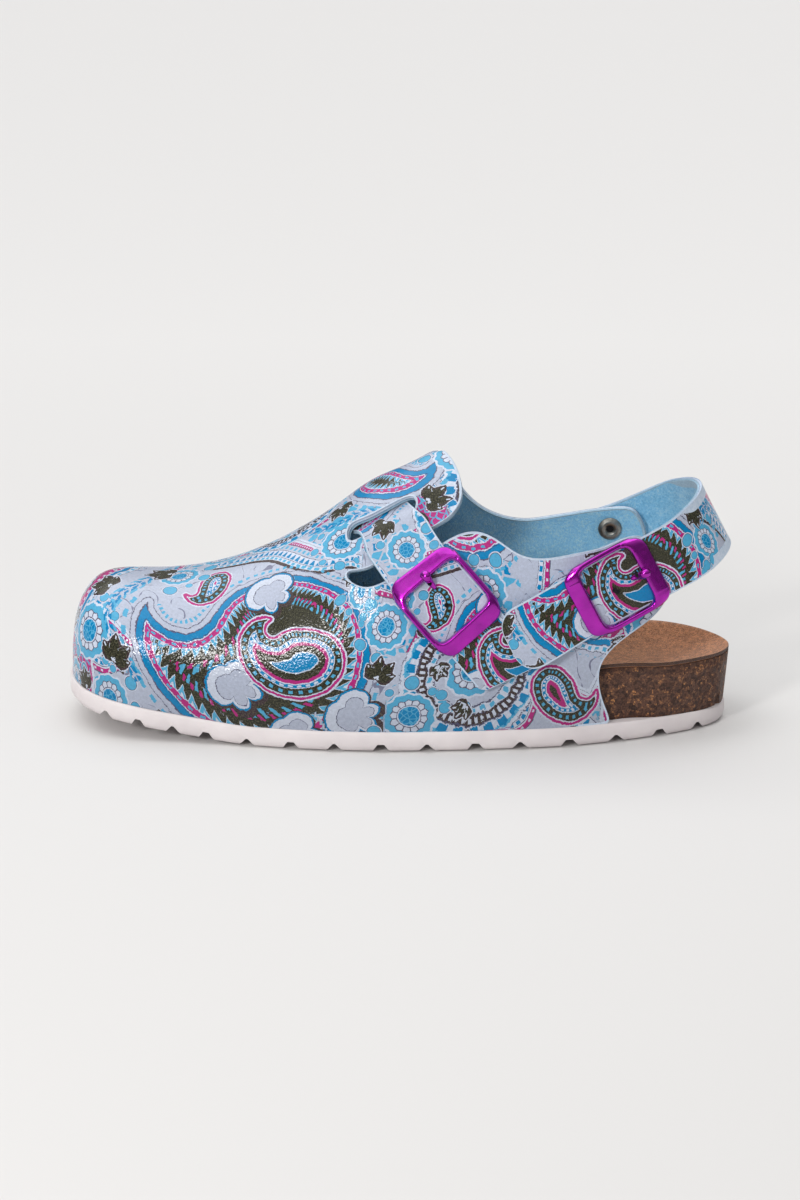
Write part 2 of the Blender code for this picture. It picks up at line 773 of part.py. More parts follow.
def on_sling(band, along, across, over):
    """A place on the back strap, which lies on both quarters and stands free round the heel."""
    kept = min(max(along, 0.0), band.length)
    ahead = band.ahead(kept)
    lean = np.array(BACK_STRAP_LEAN)
    middle = band.middle(kept) + ahead * (along - kept) + lean * across
    away = np.cross(ahead, lean)
    away /= np.linalg.norm(away)
    free = middle + away * (over - STRAP_THICKNESS / 2.0)
    share = float(smooth(band.knots, column(BACK_STRAP, "on_upper"), kept))
    if share < 0.001:
        return free
    side = "outer" if middle[1] < 4.0 else "inner"
    foot, square = foot_point(side, middle)
    return free + (foot + square * (band.lift(kept) + over) - free) * share


def strap_columns(band, stations, rows, over, round_start, round_end, skew):
    """Columns of points across a strap, with rounded or slanting ends where they are asked for."""
    half = STRAP_WIDTH / 2.0
    columns = []
    for at in stations:
        width = half
        if not round_start:
            width = TAIL_WIDTH / 2.0 + (half - TAIL_WIDTH / 2.0) * ease(at, TAIL_LENGTH, TAIL_LENGTH + 7.0)
        for distance, radius in ((at, round_start), (band.length - at, round_end)):
            if radius and distance < radius:
                width = min(width, half - radius + math.sqrt(radius**2 - (radius - distance) ** 2))
        slant = skew * ease(at, band.length - 14.0, band.length)
        columns.append(np.array([band.point(at + slant * k * width, k * width, over) for k in rows]))
    return columns


def make_strap(name, band, steps, round_start, round_end, skew):
    stations = np.linspace(0.0, band.length, steps + 1)
    for radius, start in ((round_start, True), (round_end, False)):
        if radius:
            turn = radius * (1.0 - np.cos(np.linspace(0.0, math.pi / 2.0, 5)))
            inside = (stations > radius + 1.0) if start else (stations < band.length - radius - 1.0)
            extra = turn if start else band.length - turn
            stations = np.sort(np.concatenate([stations[inside], extra]))
    rows = np.linspace(-1.0, 1.0, 6)
    low = strap_columns(band, stations, rows, 0.0, round_start, round_end, skew)
    high = strap_columns(band, stations, rows, STRAP_THICKNESS, round_start, round_end, skew)
    return layer(name, low, high)


def frame_ring(band, centre, length, width, bow, sharpness, over, count):
    """Points round a buckle frame: a rounded oblong whose long sides bow out."""
    ring = []
    for angle in np.linspace(0.0, 2.0 * math.pi, count, endpoint=False) + math.pi / count:
        c = math.cos(angle)
        s = math.sin(angle)
        along = length / 2.0 * math.copysign(abs(c) ** (2.0 / sharpness), c)
        half = width / 2.0 + bow * (1.0 - (2.0 * along / length) ** 2)
        across = half * math.copysign(abs(s) ** (2.0 / sharpness), s)
        ring.append(band.point(centre + along, across, STRAP_THICKNESS + over))
    return np.array(ring)


def make_frame(name, band, centre):
    """A buckle frame with broad sloping end bars and thin bowed side bars."""
    count = 44
    length_step = (FRAME_LENGTH - WINDOW_LENGTH) * 0.3
    width_step = (FRAME_WIDTH - WINDOW_WIDTH) * 0.3
    profile = [
        (FRAME_LENGTH, FRAME_WIDTH, FRAME_BOW, 9.0, GAP),
        (FRAME_LENGTH - 0.3, FRAME_WIDTH - 0.3, FRAME_BOW, 9.0, GAP + 1.2),
        (WINDOW_LENGTH + length_step, WINDOW_WIDTH + width_step + 2.0, 1.4, 8.0, GAP + FRAME_HEIGHT),
        (WINDOW_LENGTH + 0.7, WINDOW_WIDTH + 0.7, 1.0, 9.0, GAP + FRAME_HEIGHT),
        (WINDOW_LENGTH, WINDOW_WIDTH, 0.9, 9.0, GAP),
    ]
    rings = [frame_ring(band, centre, *row, count) for row in profile]
    rings.append(rings[0])
    closed = [np.concatenate([ring, ring[:1]]) for ring in rings]
    shape = bmesh.new()
    add_sheet(shape, closed, lambda index, row: False, False)
    return finished(name, shape)


def make_prong(name, band, centre, end):
    """A short pin that sits on one end bar and reaches down into the strap."""
    bar = FRAME_LENGTH / 2.0 - WINDOW_LENGTH / 2.0
    over_bar = GAP + FRAME_HEIGHT + GAP
    inner = WINDOW_LENGTH / 2.0
    PathRow = namedtuple("PathRow", "along over radius")
    path = [
        PathRow(inner + bar * 0.42, over_bar + 1.0, 0.25),
        PathRow(inner + bar * 0.36, over_bar + 1.1, 1.1),
        PathRow(inner + bar * 0.18, over_bar + 1.5, 1.5),
        PathRow(inner - 0.4, over_bar + 1.4, 1.4),
        PathRow(inner - 1.7, over_bar + 0.2, 1.05),
        PathRow(inner - 3.2, over_bar - 1.2, 0.8),
        PathRow(inner - 4.6, GAP + 0.75, 0.55),
        PathRow(inner - 4.9, GAP + 0.6, 0.2),
    ]
    rings = []
    for row in path:
        ring = []
        for angle in np.linspace(0.0, 2.0 * math.pi, 10, endpoint=False):
            across = row.radius * math.cos(angle)
            over = STRAP_THICKNESS + row.over + row.radius * math.sin(angle)
            ring.append(band.point(centre + end * row.along, across, over))
        rings.append(np.array(ring))
    shape = bmesh.new()
    closed = [np.concatenate([ring, ring[:1]]) for ring in rings]
    add_sheet(shape, closed, lambda index, row: False, False)
    bmesh.ops.remove_doubles(shape, verts=list(shape.verts), dist=0.00001)
    holes = [edge for edge in shape.edges if edge.is_boundary]
    bmesh.ops.holes_fill(shape, edges=holes, sides=12)
    return finished(name, shape)


def make_rivet(name, centre, away, profile):
    """A turned piece: its profile of radius and height is spun about the rivet's axis."""
    shape = bmesh.new()
    ring = [shape.verts.new(Vector((radius, 0.0, height)) * MM) for radius, height in profile]
    edges = [shape.edges.new((ring[k], ring[(k + 1) % len(ring)])) for k in range(len(ring))]
    bmesh.ops.spin(
        shape,
        geom=ring + edges,
        cent=(0.0, 0.0, 0.0),
        axis=(0.0, 0.0, 1.0),
        angle=2.0 * math.pi,
        steps=20,
        use_merge=True,
    )
    turn = Vector(away).to_track_quat("Z", "Y").to_matrix().to_4x4()
    place = Matrix.Translation(Vector(centre) * MM) @ turn
    bmesh.ops.transform(shape, matrix=place, verts=list(shape.verts))
    return finished(name, shape)


def make_rivets():
    x, z = RIVET_AT
    start = np.array([x, 40.0, z])
    foot, away = foot_point("inner", start)
    ring = [
        (RIVET_HOLE, 0.0),
        (RIVET_RADIUS, 0.0),
        (RIVET_RADIUS, 0.5),
        (RIVET_RADIUS * 0.72, 1.5),
        (RIVET_HOLE + 0.7, 1.4),
        (RIVET_HOLE, 0.7),
    ]
    make_rivet("rivet_ring", foot - away * (WALL + 2.5 * GAP), -away, ring)
    cap = [
        (0.4, 0.0),
        (RIVET_RADIUS, 0.0),
        (RIVET_RADIUS, 0.4),
        (RIVET_RADIUS * 0.7, 1.3),
        (0.4, 1.6),
    ]
    make_rivet("rivet_cap", foot + away * (0.4 + STRAP_THICKNESS + 2.0 * GAP), away, cap)


def instep_band():
    points = []
    for row in INSTEP_STRAP:
        line = section("outer", row.x)
        at = length_at_height(line, row.z)
        points.append(on_rib(line, [at])[0])
    return Band(points, column(INSTEP_STRAP, "lift"), on_outer_side)


def back_band():
    points = [(row.x, row.y, row.z) for row in BACK_STRAP]
    return Band(points, column(BACK_STRAP, "lift"), on_sling)


def centre_on_origin():
    """Moves everything so that the middle of the box that holds it stands on the origin."""
    bpy.context.view_layer.update()
    corners = []
    for thing in bpy.context.scene.objects:
        if thing.type == "MESH" and not thing.hide_render:
            corners += [vert.co for vert in thing.data.vertices]
    low = [min(corner[k] for corner in corners) for k in range(3)]
    high = [max(corner[k] for corner in corners) for k in range(3)]
    shift = Vector((-(low[0] + high[0]) / 2.0, -(low[1] + high[1]) / 2.0, -low[2]))
    for thing in bpy.context.scene.objects:
        if thing.type == "MESH":
            thing.data.transform(Matrix.Translation(shift))


def build():
    for thing in list(bpy.data.objects):
        bpy.data.objects.remove(thing)
    make_outsole()
    make_bed()
    make_upper()
    instep = instep_band()
    back = back_band()
    make_strap("instep_strap", instep, 22, 0.0, 3.0, INSTEP_END_SKEW)
    make_strap("back_strap", back, 38, 8.0, 10.0, 0.0)
    centre = instep.at_x(INSTEP_BUCKLE_X)
    make_frame("instep_buckle", instep, centre)
    make_prong("instep_prong", instep, centre, -1.0)
    centre = back.at_x(BACK_BUCKLE_X)
    make_frame("back_buckle", back, centre)
    make_prong("back_prong", back, centre, 1.0)
    make_rivets()
    centre_on_origin()


build()
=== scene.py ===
"""Dresses the slingback clog: printed leather on felt, cork, suede, foam and violet buckles.

The toe points to -X and the outer side of the foot to -Y. Named sizes are in millimetres, and meshes
are in metres, in the same frame as the solids.
"""

import json
import math
from collections import namedtuple

import bpy
import numpy as np
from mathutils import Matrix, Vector

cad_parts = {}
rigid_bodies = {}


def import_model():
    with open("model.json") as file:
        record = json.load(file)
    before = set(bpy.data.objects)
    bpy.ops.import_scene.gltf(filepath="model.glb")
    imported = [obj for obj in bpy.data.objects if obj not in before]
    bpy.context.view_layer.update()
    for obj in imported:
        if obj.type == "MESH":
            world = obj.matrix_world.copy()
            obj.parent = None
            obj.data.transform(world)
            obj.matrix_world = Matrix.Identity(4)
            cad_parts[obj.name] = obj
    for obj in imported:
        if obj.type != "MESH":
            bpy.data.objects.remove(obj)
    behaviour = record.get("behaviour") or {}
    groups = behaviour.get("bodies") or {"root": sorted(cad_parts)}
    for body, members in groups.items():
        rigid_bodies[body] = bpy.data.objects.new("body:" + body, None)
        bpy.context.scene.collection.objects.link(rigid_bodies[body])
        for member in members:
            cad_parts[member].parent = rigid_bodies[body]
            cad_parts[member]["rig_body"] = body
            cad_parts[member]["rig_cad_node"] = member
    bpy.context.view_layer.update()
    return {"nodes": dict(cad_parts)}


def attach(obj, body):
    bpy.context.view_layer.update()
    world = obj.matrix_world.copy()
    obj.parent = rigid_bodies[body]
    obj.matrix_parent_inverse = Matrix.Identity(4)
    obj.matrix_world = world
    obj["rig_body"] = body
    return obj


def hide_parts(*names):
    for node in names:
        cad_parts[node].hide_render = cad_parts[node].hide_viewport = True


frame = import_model()
NODES = frame["nodes"]

MM = 0.001
SHARP_TURN = math.radians(50.0)

# Points of a solid that are this close, in metres, are joined
WELD = 0.00001

# Farther than any point lies from a motif
FAR = 1e9

# Layers of the upper and of the straps, and the border that shows as their cut edge
LEATHER = 1.25
FELT = 1.05
STRAP_LEATHER = 1.0
STRAP_FELT = 0.9
EDGE_BORDER = 0.22

# How firm the corners of the layers' edges stay
LEATHER_EDGE = 0.45
FELT_EDGE = 0.2

# Below and ahead of these the upper's edge is tucked against the cork
TUCKED_BELOW = 26.0
TUCKED_BEFORE = 70.0

# How rounded surfaces are drawn back to the solids that they stand for
FIT_TURNS = 3
FIT_SHARE = 0.8
FIT_LIMIT = 0.8

# Camera, as the photograph was taken: metres, and millimetres for the lens
CAMERA_TARGET = Vector((0.000687, -0.003645, 0.0487))
CAMERA_ELEVATION = math.radians(15.5)
CAMERA_DISTANCE = 1.3
CAMERA_LENS = 99.6

# The print repeats over the leather, each column half a repeat higher than the one before it
REPEAT_WIDTH = 150.0
REPEAT_HEIGHT = 120.0

# Depths from the rim of a motif between which its bands of ink lie
DEPTH_LOW = -12.0
DEPTH_HIGH = 17.0

# Painted shade: the leather's colour is darkened towards the sole, between these heights, where less light
# reaches it
PAINTED_SHADE_LOW = 12.0
PAINTED_SHADE_HIGH = 44.0
PAINTED_SHADE_DARK = 0.74


def linear(red, green, blue):
    """A colour written as on a screen, from 0 to 255, as light."""
    shares = [value / 255.0 for value in (red, green, blue)]
    light = [share / 12.92 if share <= 0.04045 else ((share + 0.055) / 1.055) ** 2.4 for share in shares]
    return (*light, 1.0)


INKS = {
    "ground": linear(184, 192, 211),
    "pale": linear(206, 215, 232),
    "white": linear(206, 214, 230),
    "sky": linear(84, 172, 212),
    "blue": linear(0, 132, 188),
    "deep": linear(0, 92, 150),
    "magenta": linear(182, 42, 126),
    "olive": linear(42, 42, 32),
    "plum": linear(60, 43, 54),
    "fleck": linear(108, 106, 80),
    "line": linear(80, 80, 114),
}


# Selecting and copying


def places(mesh):
    flat = np.empty(len(mesh.vertices) * 3)
    mesh.vertices.foreach_get("co", flat)
    return flat.reshape(-1, 3) / MM


def choose(thing):
    """Makes one object the only selected one."""
    if bpy.context.mode != "OBJECT":
        bpy.ops.object.mode_set(mode="OBJECT")
    bpy.ops.object.select_all(action="DESELECT")
    thing.select_set(True)
    bpy.context.view_layer.objects.active = thing


def copy_of(node, name, quads=True):
    """A copy of a CAD node with its loose triangles joined and, mostly, turned back into quads."""
    choose(NODES[node])
    bpy.ops.object.duplicate()
    piece = bpy.context.view_layer.objects.active
    piece.name = name
    piece.data.name = name
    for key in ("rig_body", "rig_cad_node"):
        del piece[key]
    piece.data.materials.clear()
    bpy.ops.mesh.customdata_custom_splitnormals_clear()
    bpy.ops.object.mode_set(mode="EDIT")
    bpy.ops.mesh.select_mode(type="FACE")
    bpy.ops.mesh.select_all(action="SELECT")
    bpy.ops.mesh.remove_doubles(threshold=WELD)
    if quads:
        bpy.ops.mesh.tris_convert_to_quads(
            face_threshold=math.pi,
            shape_threshold=math.pi,
            topology_influence=2.0,
        )
    bpy.ops.object.mode_set(mode="OBJECT")
    bpy.ops.object.shade_smooth()
    return piece


def select_faces(piece, chosen):
    """Leaves the piece in edit mode with only these faces selected."""
    choose(piece)
    bpy.ops.object.mode_set(mode="EDIT")
    bpy.ops.mesh.select_mode(type="FACE")
    bpy.ops.mesh.select_all(action="DESELECT")
    bpy.ops.object.mode_set(mode="OBJECT")
    for index in chosen:
        piece.data.polygons[index].select = True
    bpy.ops.object.mode_set(mode="EDIT")


def select_sharp_edges(piece, turn):
    choose(piece)
    bpy.ops.object.mode_set(mode="EDIT")
    bpy.ops.mesh.select_mode(type="EDGE")
    bpy.ops.mesh.select_all(action="DESELECT")
    bpy.ops.mesh.edges_select_sharp(sharpness=turn)


def skins(piece):
    """Lists of faces between sharp edges, the largest skin first."""
    select_sharp_edges(piece, SHARP_TURN)
    bpy.ops.mesh.mark_seam()
    bpy.ops.object.mode_set(mode="OBJECT")
    left = set(range(len(piece.data.polygons)))
    found = []
    while left:
        select_faces(piece, [min(left)])
        bpy.ops.mesh.select_linked(delimit={"SEAM"})
        bpy.ops.object.mode_set(mode="OBJECT")
        skin = [face.index for face in piece.data.polygons if face.select]
        found.append((sum(piece.data.polygons[index].area for index in skin), skin))
        left -= set(skin)
    found.sort(reverse=True)
    return [skin for area, skin in found]


def apply_all(piece):
    choose(piece)
    for modifier in list(piece.modifiers):
        bpy.ops.object.modifier_apply(modifier=modifier.name)


def round_off(piece, levels):
    """Subdivides a piece so that its rounded surface still passes through the points of the solid."""
    rounded = piece.modifiers.new("rounded", "SUBSURF")
    rounded.levels = levels
    rounded.render_levels = levels
    solid = places(piece.data)
    drawn = solid.copy()
    for turn in range(FIT_TURNS):
        smooth = piece.evaluated_get(bpy.context.evaluated_depsgraph_get()).to_mesh()
        missed = solid - places(smooth)[: len(solid)]
        size = np.maximum(np.linalg.norm(missed, axis=1), 1e-9)
        drawn += missed * np.minimum(FIT_LIMIT / size, FIT_SHARE)[:, None]
        piece.data.vertices.foreach_set("co", (drawn * MM).ravel())
        piece.data.update()
    apply_all(piece)


def smooth_copy(node, name, turn, crease, levels):
    """A rounded copy of a CAD node that keeps its sharp edges as firm as the crease says."""
    piece = copy_of(node, name)
    select_sharp_edges(piece, turn)
    bpy.ops.transform.edge_crease(value=crease)
    bpy.ops.object.mode_set(mode="OBJECT")
    round_off(piece, levels)
    return piece


def layer_of(node, name, skin, materials, thickness, crease, levels):
    """One layer of a wall: an outer or inner skin, thickened towards the middle of the wall.

    Its materials are those of the front, of the back and of the edge, which shows as a narrow border.
    """
    piece = copy_of(node, name)
    kept = set(skins(piece)[skin])
    select_faces(piece, [face.index for face in piece.data.polygons if face.index not in kept])
    bpy.ops.mesh.delete(type="FACE")
    bpy.ops.mesh.select_all(action="SELECT")
    bpy.ops.uv.unwrap(method="MINIMUM_STRETCH", margin=0.0)
    bpy.ops.mesh.inset(thickness=EDGE_BORDER * MM, depth=0.0, use_boundary=True, use_even_offset=False)
    bpy.ops.object.mode_set(mode="OBJECT")
    for material in materials:
        piece.data.materials.append(MATERIALS[material])
    for face in piece.data.polygons:
        x, y, z = face.center / MM
        tucked_in = z < TUCKED_BELOW and x < TUCKED_BEFORE
        face.material_index = 0 if face.select or tucked_in else 2
    wall = piece.modifiers.new("wall", "SOLIDIFY")
    wall.thickness = thickness * MM
    wall.offset = -1.0
    wall.use_even_offset = False
    wall.edge_crease_outer = crease
    wall.edge_crease_inner = crease
    wall.material_offset = 1
    wall.material_offset_rim = 2
    apply_all(piece)
    round_off(piece, levels)
    return piece


def subdivide_front(piece):
    """Halves the faces of the printed side."""
    select_faces(piece, [face.index for face in piece.data.polygons if face.material_index == 0])
    bpy.ops.mesh.subdivide(number_cuts=1)
    bpy.ops.object.mode_set(mode="OBJECT")


# The print: where each point of the leather lies in the repeat


def chart_of(piece, x, z, reach):
    """Flat places of all points, in millimetres, level and upright round one spot of the outer side."""
    mesh = piece.data
    corner_uv = np.empty(len(mesh.loops) * 2)
    mesh.uv_layers.active.data.foreach_get("uv", corner_uv)
    corner_point = np.empty(len(mesh.loops), int)
    mesh.loops.foreach_get("vertex_index", corner_point)
    printed = np.zeros(len(mesh.loops), bool)
    for face in mesh.polygons:
        printed[face.loop_start : face.loop_start + face.loop_total] = face.material_index == 0
    chart = np.zeros((len(mesh.vertices), 2))
    chart[corner_point[printed]] = corner_uv.reshape(-1, 2)[printed]
    front = np.zeros(len(mesh.vertices), bool)
    front[corner_point[printed]] = True
    at = places(mesh)
    near = front & (np.hypot(at[:, 0] - x, at[:, 2] - z) < reach) & (at[:, 1] < 0.0)
    flat = chart[:, 0] + 1j * chart[:, 1]
    side = at[near, 0] - x + 1j * (at[near, 2] - z)
    middle = flat[near].mean()
    spread = flat[near] - middle
    turn = (np.conj(spread) * (side - side.mean())).sum() / (np.abs(spread) ** 2).sum()
    flat = (flat - middle) * turn + side.mean()
    return np.column_stack([flat.real, flat.imag])


def wrapped(chart, x, y):
    """Places measured from a motif, each to the nearest of its repeats."""
    right = chart[:, 0] - x
    up = chart[:, 1] - y
    columns = np.round(right / REPEAT_WIDTH)
    right = right - columns * REPEAT_WIDTH
    up = up - columns * REPEAT_HEIGHT / 2.0
    up = up - np.round(up / REPEAT_HEIGHT) * REPEAT_HEIGHT
    return np.column_stack([right, up])


def turned(points, degrees):
    angle = math.radians(degrees)
    turn = np.array([[math.cos(angle), math.sin(angle)], [-math.sin(angle), math.cos(angle)]])
    return points @ turn


def along_line(points, line):
    """Distance to a line, the length along it of the nearest spot, and the side on which each point lies."""
    start = line[:-1]
    step = line[1:] - start
    sizes = np.linalg.norm(step, axis=1)
    lengths = np.concatenate([[0.0], np.cumsum(sizes)])
    best = np.full(len(points), FAR)
    along = np.zeros(len(points))
    side = np.ones(len(points))
    for k in range(len(start)):
        off = points - start[k]
        share = np.clip(off @ step[k] / sizes[k] ** 2, 0.0, 1.0)
        away = off - share[:, None] * step[k]
        distance = np.hypot(away[:, 0], away[:, 1])
        closer = distance < best
        best[closer] = distance[closer]
        along[closer] = lengths[k] + share[closer] * sizes[k]
        side[closer] = np.where(step[k, 0] * off[closer, 1] > step[k, 1] * off[closer, 0], 1.0, -1.0)
    return best, along, side


def inside_outline(points, outline):
    """Whether each point lies within a closed outline."""
    inside = np.zeros(len(points), bool)
    for first, second in zip(outline, np.roll(outline, -1, axis=0)):
        if first[1] == second[1]:
            continue
        spans = (first[1] > points[:, 1]) != (second[1] > points[:, 1])
        cross = first[0] + (points[:, 1] - first[1]) / (second[1] - first[1]) * (second[0] - first[0])
        inside ^= spans & (points[:, 0] < cross)
    return inside


def smooth_line(points, count):
    """A smooth curve through a few points."""
    points = np.asarray(points, float)
    knots = np.arange(len(points), dtype=float)
    slopes = np.gradient(points, axis=0)
    at = np.linspace(0.0, len(points) - 1.0, count)
    span = np.clip(at.astype(int), 0, len(points) - 2)
    share = (at - knots[span])[:, None]
    rise = share * share * (3.0 - 2.0 * share)
    start = share * (1.0 - share) ** 2
    end = share * share * (share - 1.0)
    between = points[span] * (1.0 - rise) + points[span + 1] * rise
    return between + slopes[span] * start + slopes[span + 1] * end


BOTEH_BELLY = 0.3
BOTEH_STEPS = 44
BOTEH_CURL_LATE = 2.2
BOTEH_TAIL_THIN = 1.25


def boteh_outline(length, width, curl):
    """A drop whose tail curls over, from its tip round the belly and back to the tip."""
    round_end = BOTEH_BELLY * (1.0 - np.cos(np.linspace(0.0, math.pi / 2.0, BOTEH_STEPS // 2)))
    share = np.concatenate([round_end, np.linspace(BOTEH_BELLY, 1.0, BOTEH_STEPS)[1:]])
    heading = math.radians(curl) * share**BOTEH_CURL_LATE
    steps = np.diff(share, prepend=0.0) * length
    spine = np.cumsum(np.column_stack([np.cos(heading), np.sin(heading)]) * steps[:, None], axis=0)
    spine -= spine[BOTEH_STEPS // 2 - 1]
    belly = np.sqrt(np.clip(1.0 - ((share - BOTEH_BELLY) / BOTEH_BELLY) ** 2, 0.0, 1.0))
    past = np.clip((share - BOTEH_BELLY) / (1.0 - BOTEH_BELLY), 0.0, 1.0)
    tail = np.cos(past * math.pi / 2.0) ** BOTEH_TAIL_THIN
    half = width / 2.0 * np.where(share < BOTEH_BELLY, belly, tail)
    square = np.column_stack([-np.sin(heading), np.cos(heading)])
    left = spine + square * half[:, None]
    right = spine - square * half[:, None]
    return np.concatenate([left[::-1], right[1:]])


# Layers of inks, from the lowest. Motifs of one layer keep clear of each other.
LAYERS = {
    "print_cobbles": ("cobble",),
    "print_ladders": ("ladder",),
    "print_ribbons": ("ribbon",),
    "print_wheels": ("wheel", "medallion"),
    "print_drops": ("boteh", "pod"),
    "print_rosettes": ("rosette", "blossom"),
    "print_curls": ("curl",),
    "print_beads": ("bead",),
    "print_chains": ("chain",),
    "print_sprigs": ("sprig",),
}

Drop = namedtuple("Drop", "kind x y turn length width curl pitch")
DROPS = {
    "boteh": [
        (2.0, -4.0, 118.0, 86.0, 52.0, -150.0, 3.4),
        (84.0, -6.0, -62.0, 58.0, 34.0, -150.0, 3.0),
        (8.0, -56.0, 12.0, 34.0, 17.0, 140.0, 2.6),
        (-38.0, -52.0, 160.0, 36.0, 18.0, -140.0, 2.6),
    ],
    "pod": [
        (40.0, 35.0, 62.0, 36.0, 19.0, 30.0, 2.4),
        (-69.0, 9.0, 80.0, 34.0, 17.0, -30.0, 2.4),
    ],
    "curl": [
        (6.0, -10.0, 150.0, 40.0, 21.0, -200.0, 2.2),
        (80.0, -7.0, -40.0, 25.0, 13.0, -170.0, 2.0),
        (-28.0, 14.0, 60.0, 20.0, 9.0, -160.0, 2.0),
        (58.0, -62.0, 120.0, 26.0, 12.0, 170.0, 2.0),
    ],
}

Round = namedtuple("Round", "kind x y radius")
ROUNDS = {
    "wheel": [(46.0, -39.0, 20.0), (-22.0, 50.0, 17.5)],
    "medallion": [(-74.0, -24.0, 12.5), (66.0, 0.0, 10.5), (30.0, 56.0, 11.0)],
    "cobble": [
        (34.0, -12.0, 16.0), (-62.0, -16.0, 15.0), (8.0, 38.0, 14.0), (66.0, -24.0, 14.0),
        (24.0, -42.0, 15.0), (66.0, 22.0, 15.0), (-46.0, 32.0, 12.0), (-56.0, -44.0, 13.0),
    ],
    "rosette": [
        (35.0, -9.0, 7.4), (31.0, 8.0, 6.4), (25.0, -37.0, 6.8), (-61.0, -14.0, 7.8),
        (-55.0, -33.0, 7.0), (-41.0, 33.0, 7.2), (12.0, 37.0, 7.6), (61.0, 17.0, 7.4),
        (65.0, -25.0, 7.0), (46.0, -39.0, 8.0), (-22.0, 50.0, 7.0), (74.0, 34.0, 7.0),
        (-43.0, 15.0, 6.0),
    ],
    "blossom": [
        (-6.0, 13.0, 9.6), (-15.0, -19.0, 9.4), (14.0, -29.0, 8.2), (-1.0, -31.0, 6.8),
        (92.0, 6.0, 5.6), (36.0, 30.0, 4.4), (-70.0, 2.0, 4.2),
    ],
}

BEADS_IN_RING = 9
BEAD_RADIUS = 1.7
BEAD_RANGE = 0.55
BEAD_GAP = 1.1
RING_BREAKS_BELOW = -0.35


def beads(rows):
    """Beads of unlike size, in a broken ring round each rosette."""
    made = []
    for row in rows:
        if row.kind != "rosette":
            continue
        for k in range(BEADS_IN_RING):
            angle = 2.0 * math.pi * k / BEADS_IN_RING + row.x * 0.37
            if math.sin(angle * 1.5 + row.y) < RING_BREAKS_BELOW:
                continue
            radius = BEAD_RADIUS + BEAD_RANGE * math.sin(2.4 * k + row.x)
            away = row.radius + radius + BEAD_GAP
            made.append(Round("bead", row.x + away * math.cos(angle), row.y + away * math.sin(angle), radius))
    return made


Sprig = namedtuple("Sprig", "kind x y turn size")
SPRIGS = {
    "sprig": [
        (-47.0, 16.0, 160.0, 8.5), (-57.0, 0.0, 200.0, 8.0), (-52.0, -22.0, 300.0, 8.5),
        (-66.0, -30.0, 250.0, 7.5), (-36.0, -40.0, 240.0, 8.5), (-14.0, -41.0, 200.0, 7.5),
        (24.0, -22.0, 330.0, 8.0), (43.0, -16.0, 20.0, 8.5), (27.0, 20.0, 100.0, 8.5),
        (48.0, 2.0, 320.0, 8.0), (40.0, -30.0, 110.0, 5.5), (54.0, -34.0, 30.0, 5.5),
        (38.0, -46.0, 200.0, 5.5), (52.0, -49.0, 290.0, 5.5), (-29.0, 56.0, 130.0, 5.5),
        (-15.0, 44.0, 320.0, 5.5), (68.0, -42.0, 280.0, 8.0), (70.0, 6.0, 10.0, 8.0),
        (53.0, 30.0, 70.0, 8.0), (24.0, 46.0, 100.0, 8.0), (0.0, 52.0, 60.0, 8.0),
        (-50.0, 44.0, 110.0, 8.0), (44.0, 42.0, 60.0, 6.0), (38.0, 40.0, 250.0, 5.0),
        (-68.0, 14.0, 70.0, 6.0), (-70.0, -9.0, 240.0, 5.0), (28.0, -56.0, 300.0, 8.0),
        (-20.0, -58.0, 30.0, 8.0),
    ],
}

Trail = namedtuple("Trail", "kind start second third end")
TRAILS = {
    "ladder": [
        ((-92.0, -6.0), (-84.0, -26.0), (-66.0, -40.0), (-44.0, -42.0)),
        ((22.0, 24.0), (44.0, 16.0), (56.0, 2.0), (60.0, -16.0)),
        ((-40.0, 26.0), (-16.0, 32.0), (8.0, 28.0), (22.0, 36.0)),
        ((58.0, 34.0), (70.0, 46.0), (88.0, 48.0), (104.0, 40.0)),
    ],
    "chain": [
        ((27.0, 12.0), (34.0, 20.0), (42.0, 20.0), (52.0, 12.0)),
        ((-44.0, -26.0), (-54.0, -10.0), (-50.0, 6.0), (-52.0, 22.0)),
        ((58.0, -8.0), (58.0, -18.0), (56.0, -26.0), (66.0, -34.0)),
        ((-6.0, 40.0), (6.0, 44.0), (16.0, 52.0), (30.0, 54.0)),
    ],
    "ribbon": [
        ((38.0, 4.0), (46.0, -6.0), (46.0, -16.0), (36.0, -22.0)),
        ((-72.0, 22.0), (-60.0, 28.0), (-50.0, 24.0), (-46.0, 12.0)),
        ((-72.0, -6.0), (-66.0, -18.0), (-56.0, -24.0), (-46.0, -20.0)),
        ((20.0, -50.0), (32.0, -54.0), (46.0, -62.0), (64.0, -50.0)),
        ((62.0, 10.0), (72.0, 22.0), (86.0, 26.0), (98.0, 22.0)),
        ((-38.0, 42.0), (-30.0, 36.0), (-14.0, 36.0), (-2.0, 48.0)),
    ],
}
TrailSize = namedtuple("TrailSize", "width pitch")
TRAIL_SIZES = {
    "ladder": TrailSize(12.0, 2.4),
    "chain": TrailSize(5.0, 3.2),
    "ribbon": TrailSize(4.2, 2.6),
}
TRAIL_STEPS = 60
TRAIL_END = 0.01


def drop_fields(row, chart):
    """Length along either side of a drop from its tip, counted in teeth, and the depth inside it."""
    points = turned(wrapped(chart, row.x, row.y), row.turn)
    outline = boteh_outline(row.length, row.width, row.curl)
    steps = np.linalg.norm(np.diff(outline, axis=0), axis=1)
    half = steps[: len(steps) // 2].sum()
    other = steps.sum() - half
    distance, along, side = along_line(points, outline)
    share = np.where(along < half, along / half, (half + other - along) / other)
    depth = np.where(inside_outline(points, outline), distance, -distance)
    return share * (half + other) / 2.0 / row.pitch, depth, depth


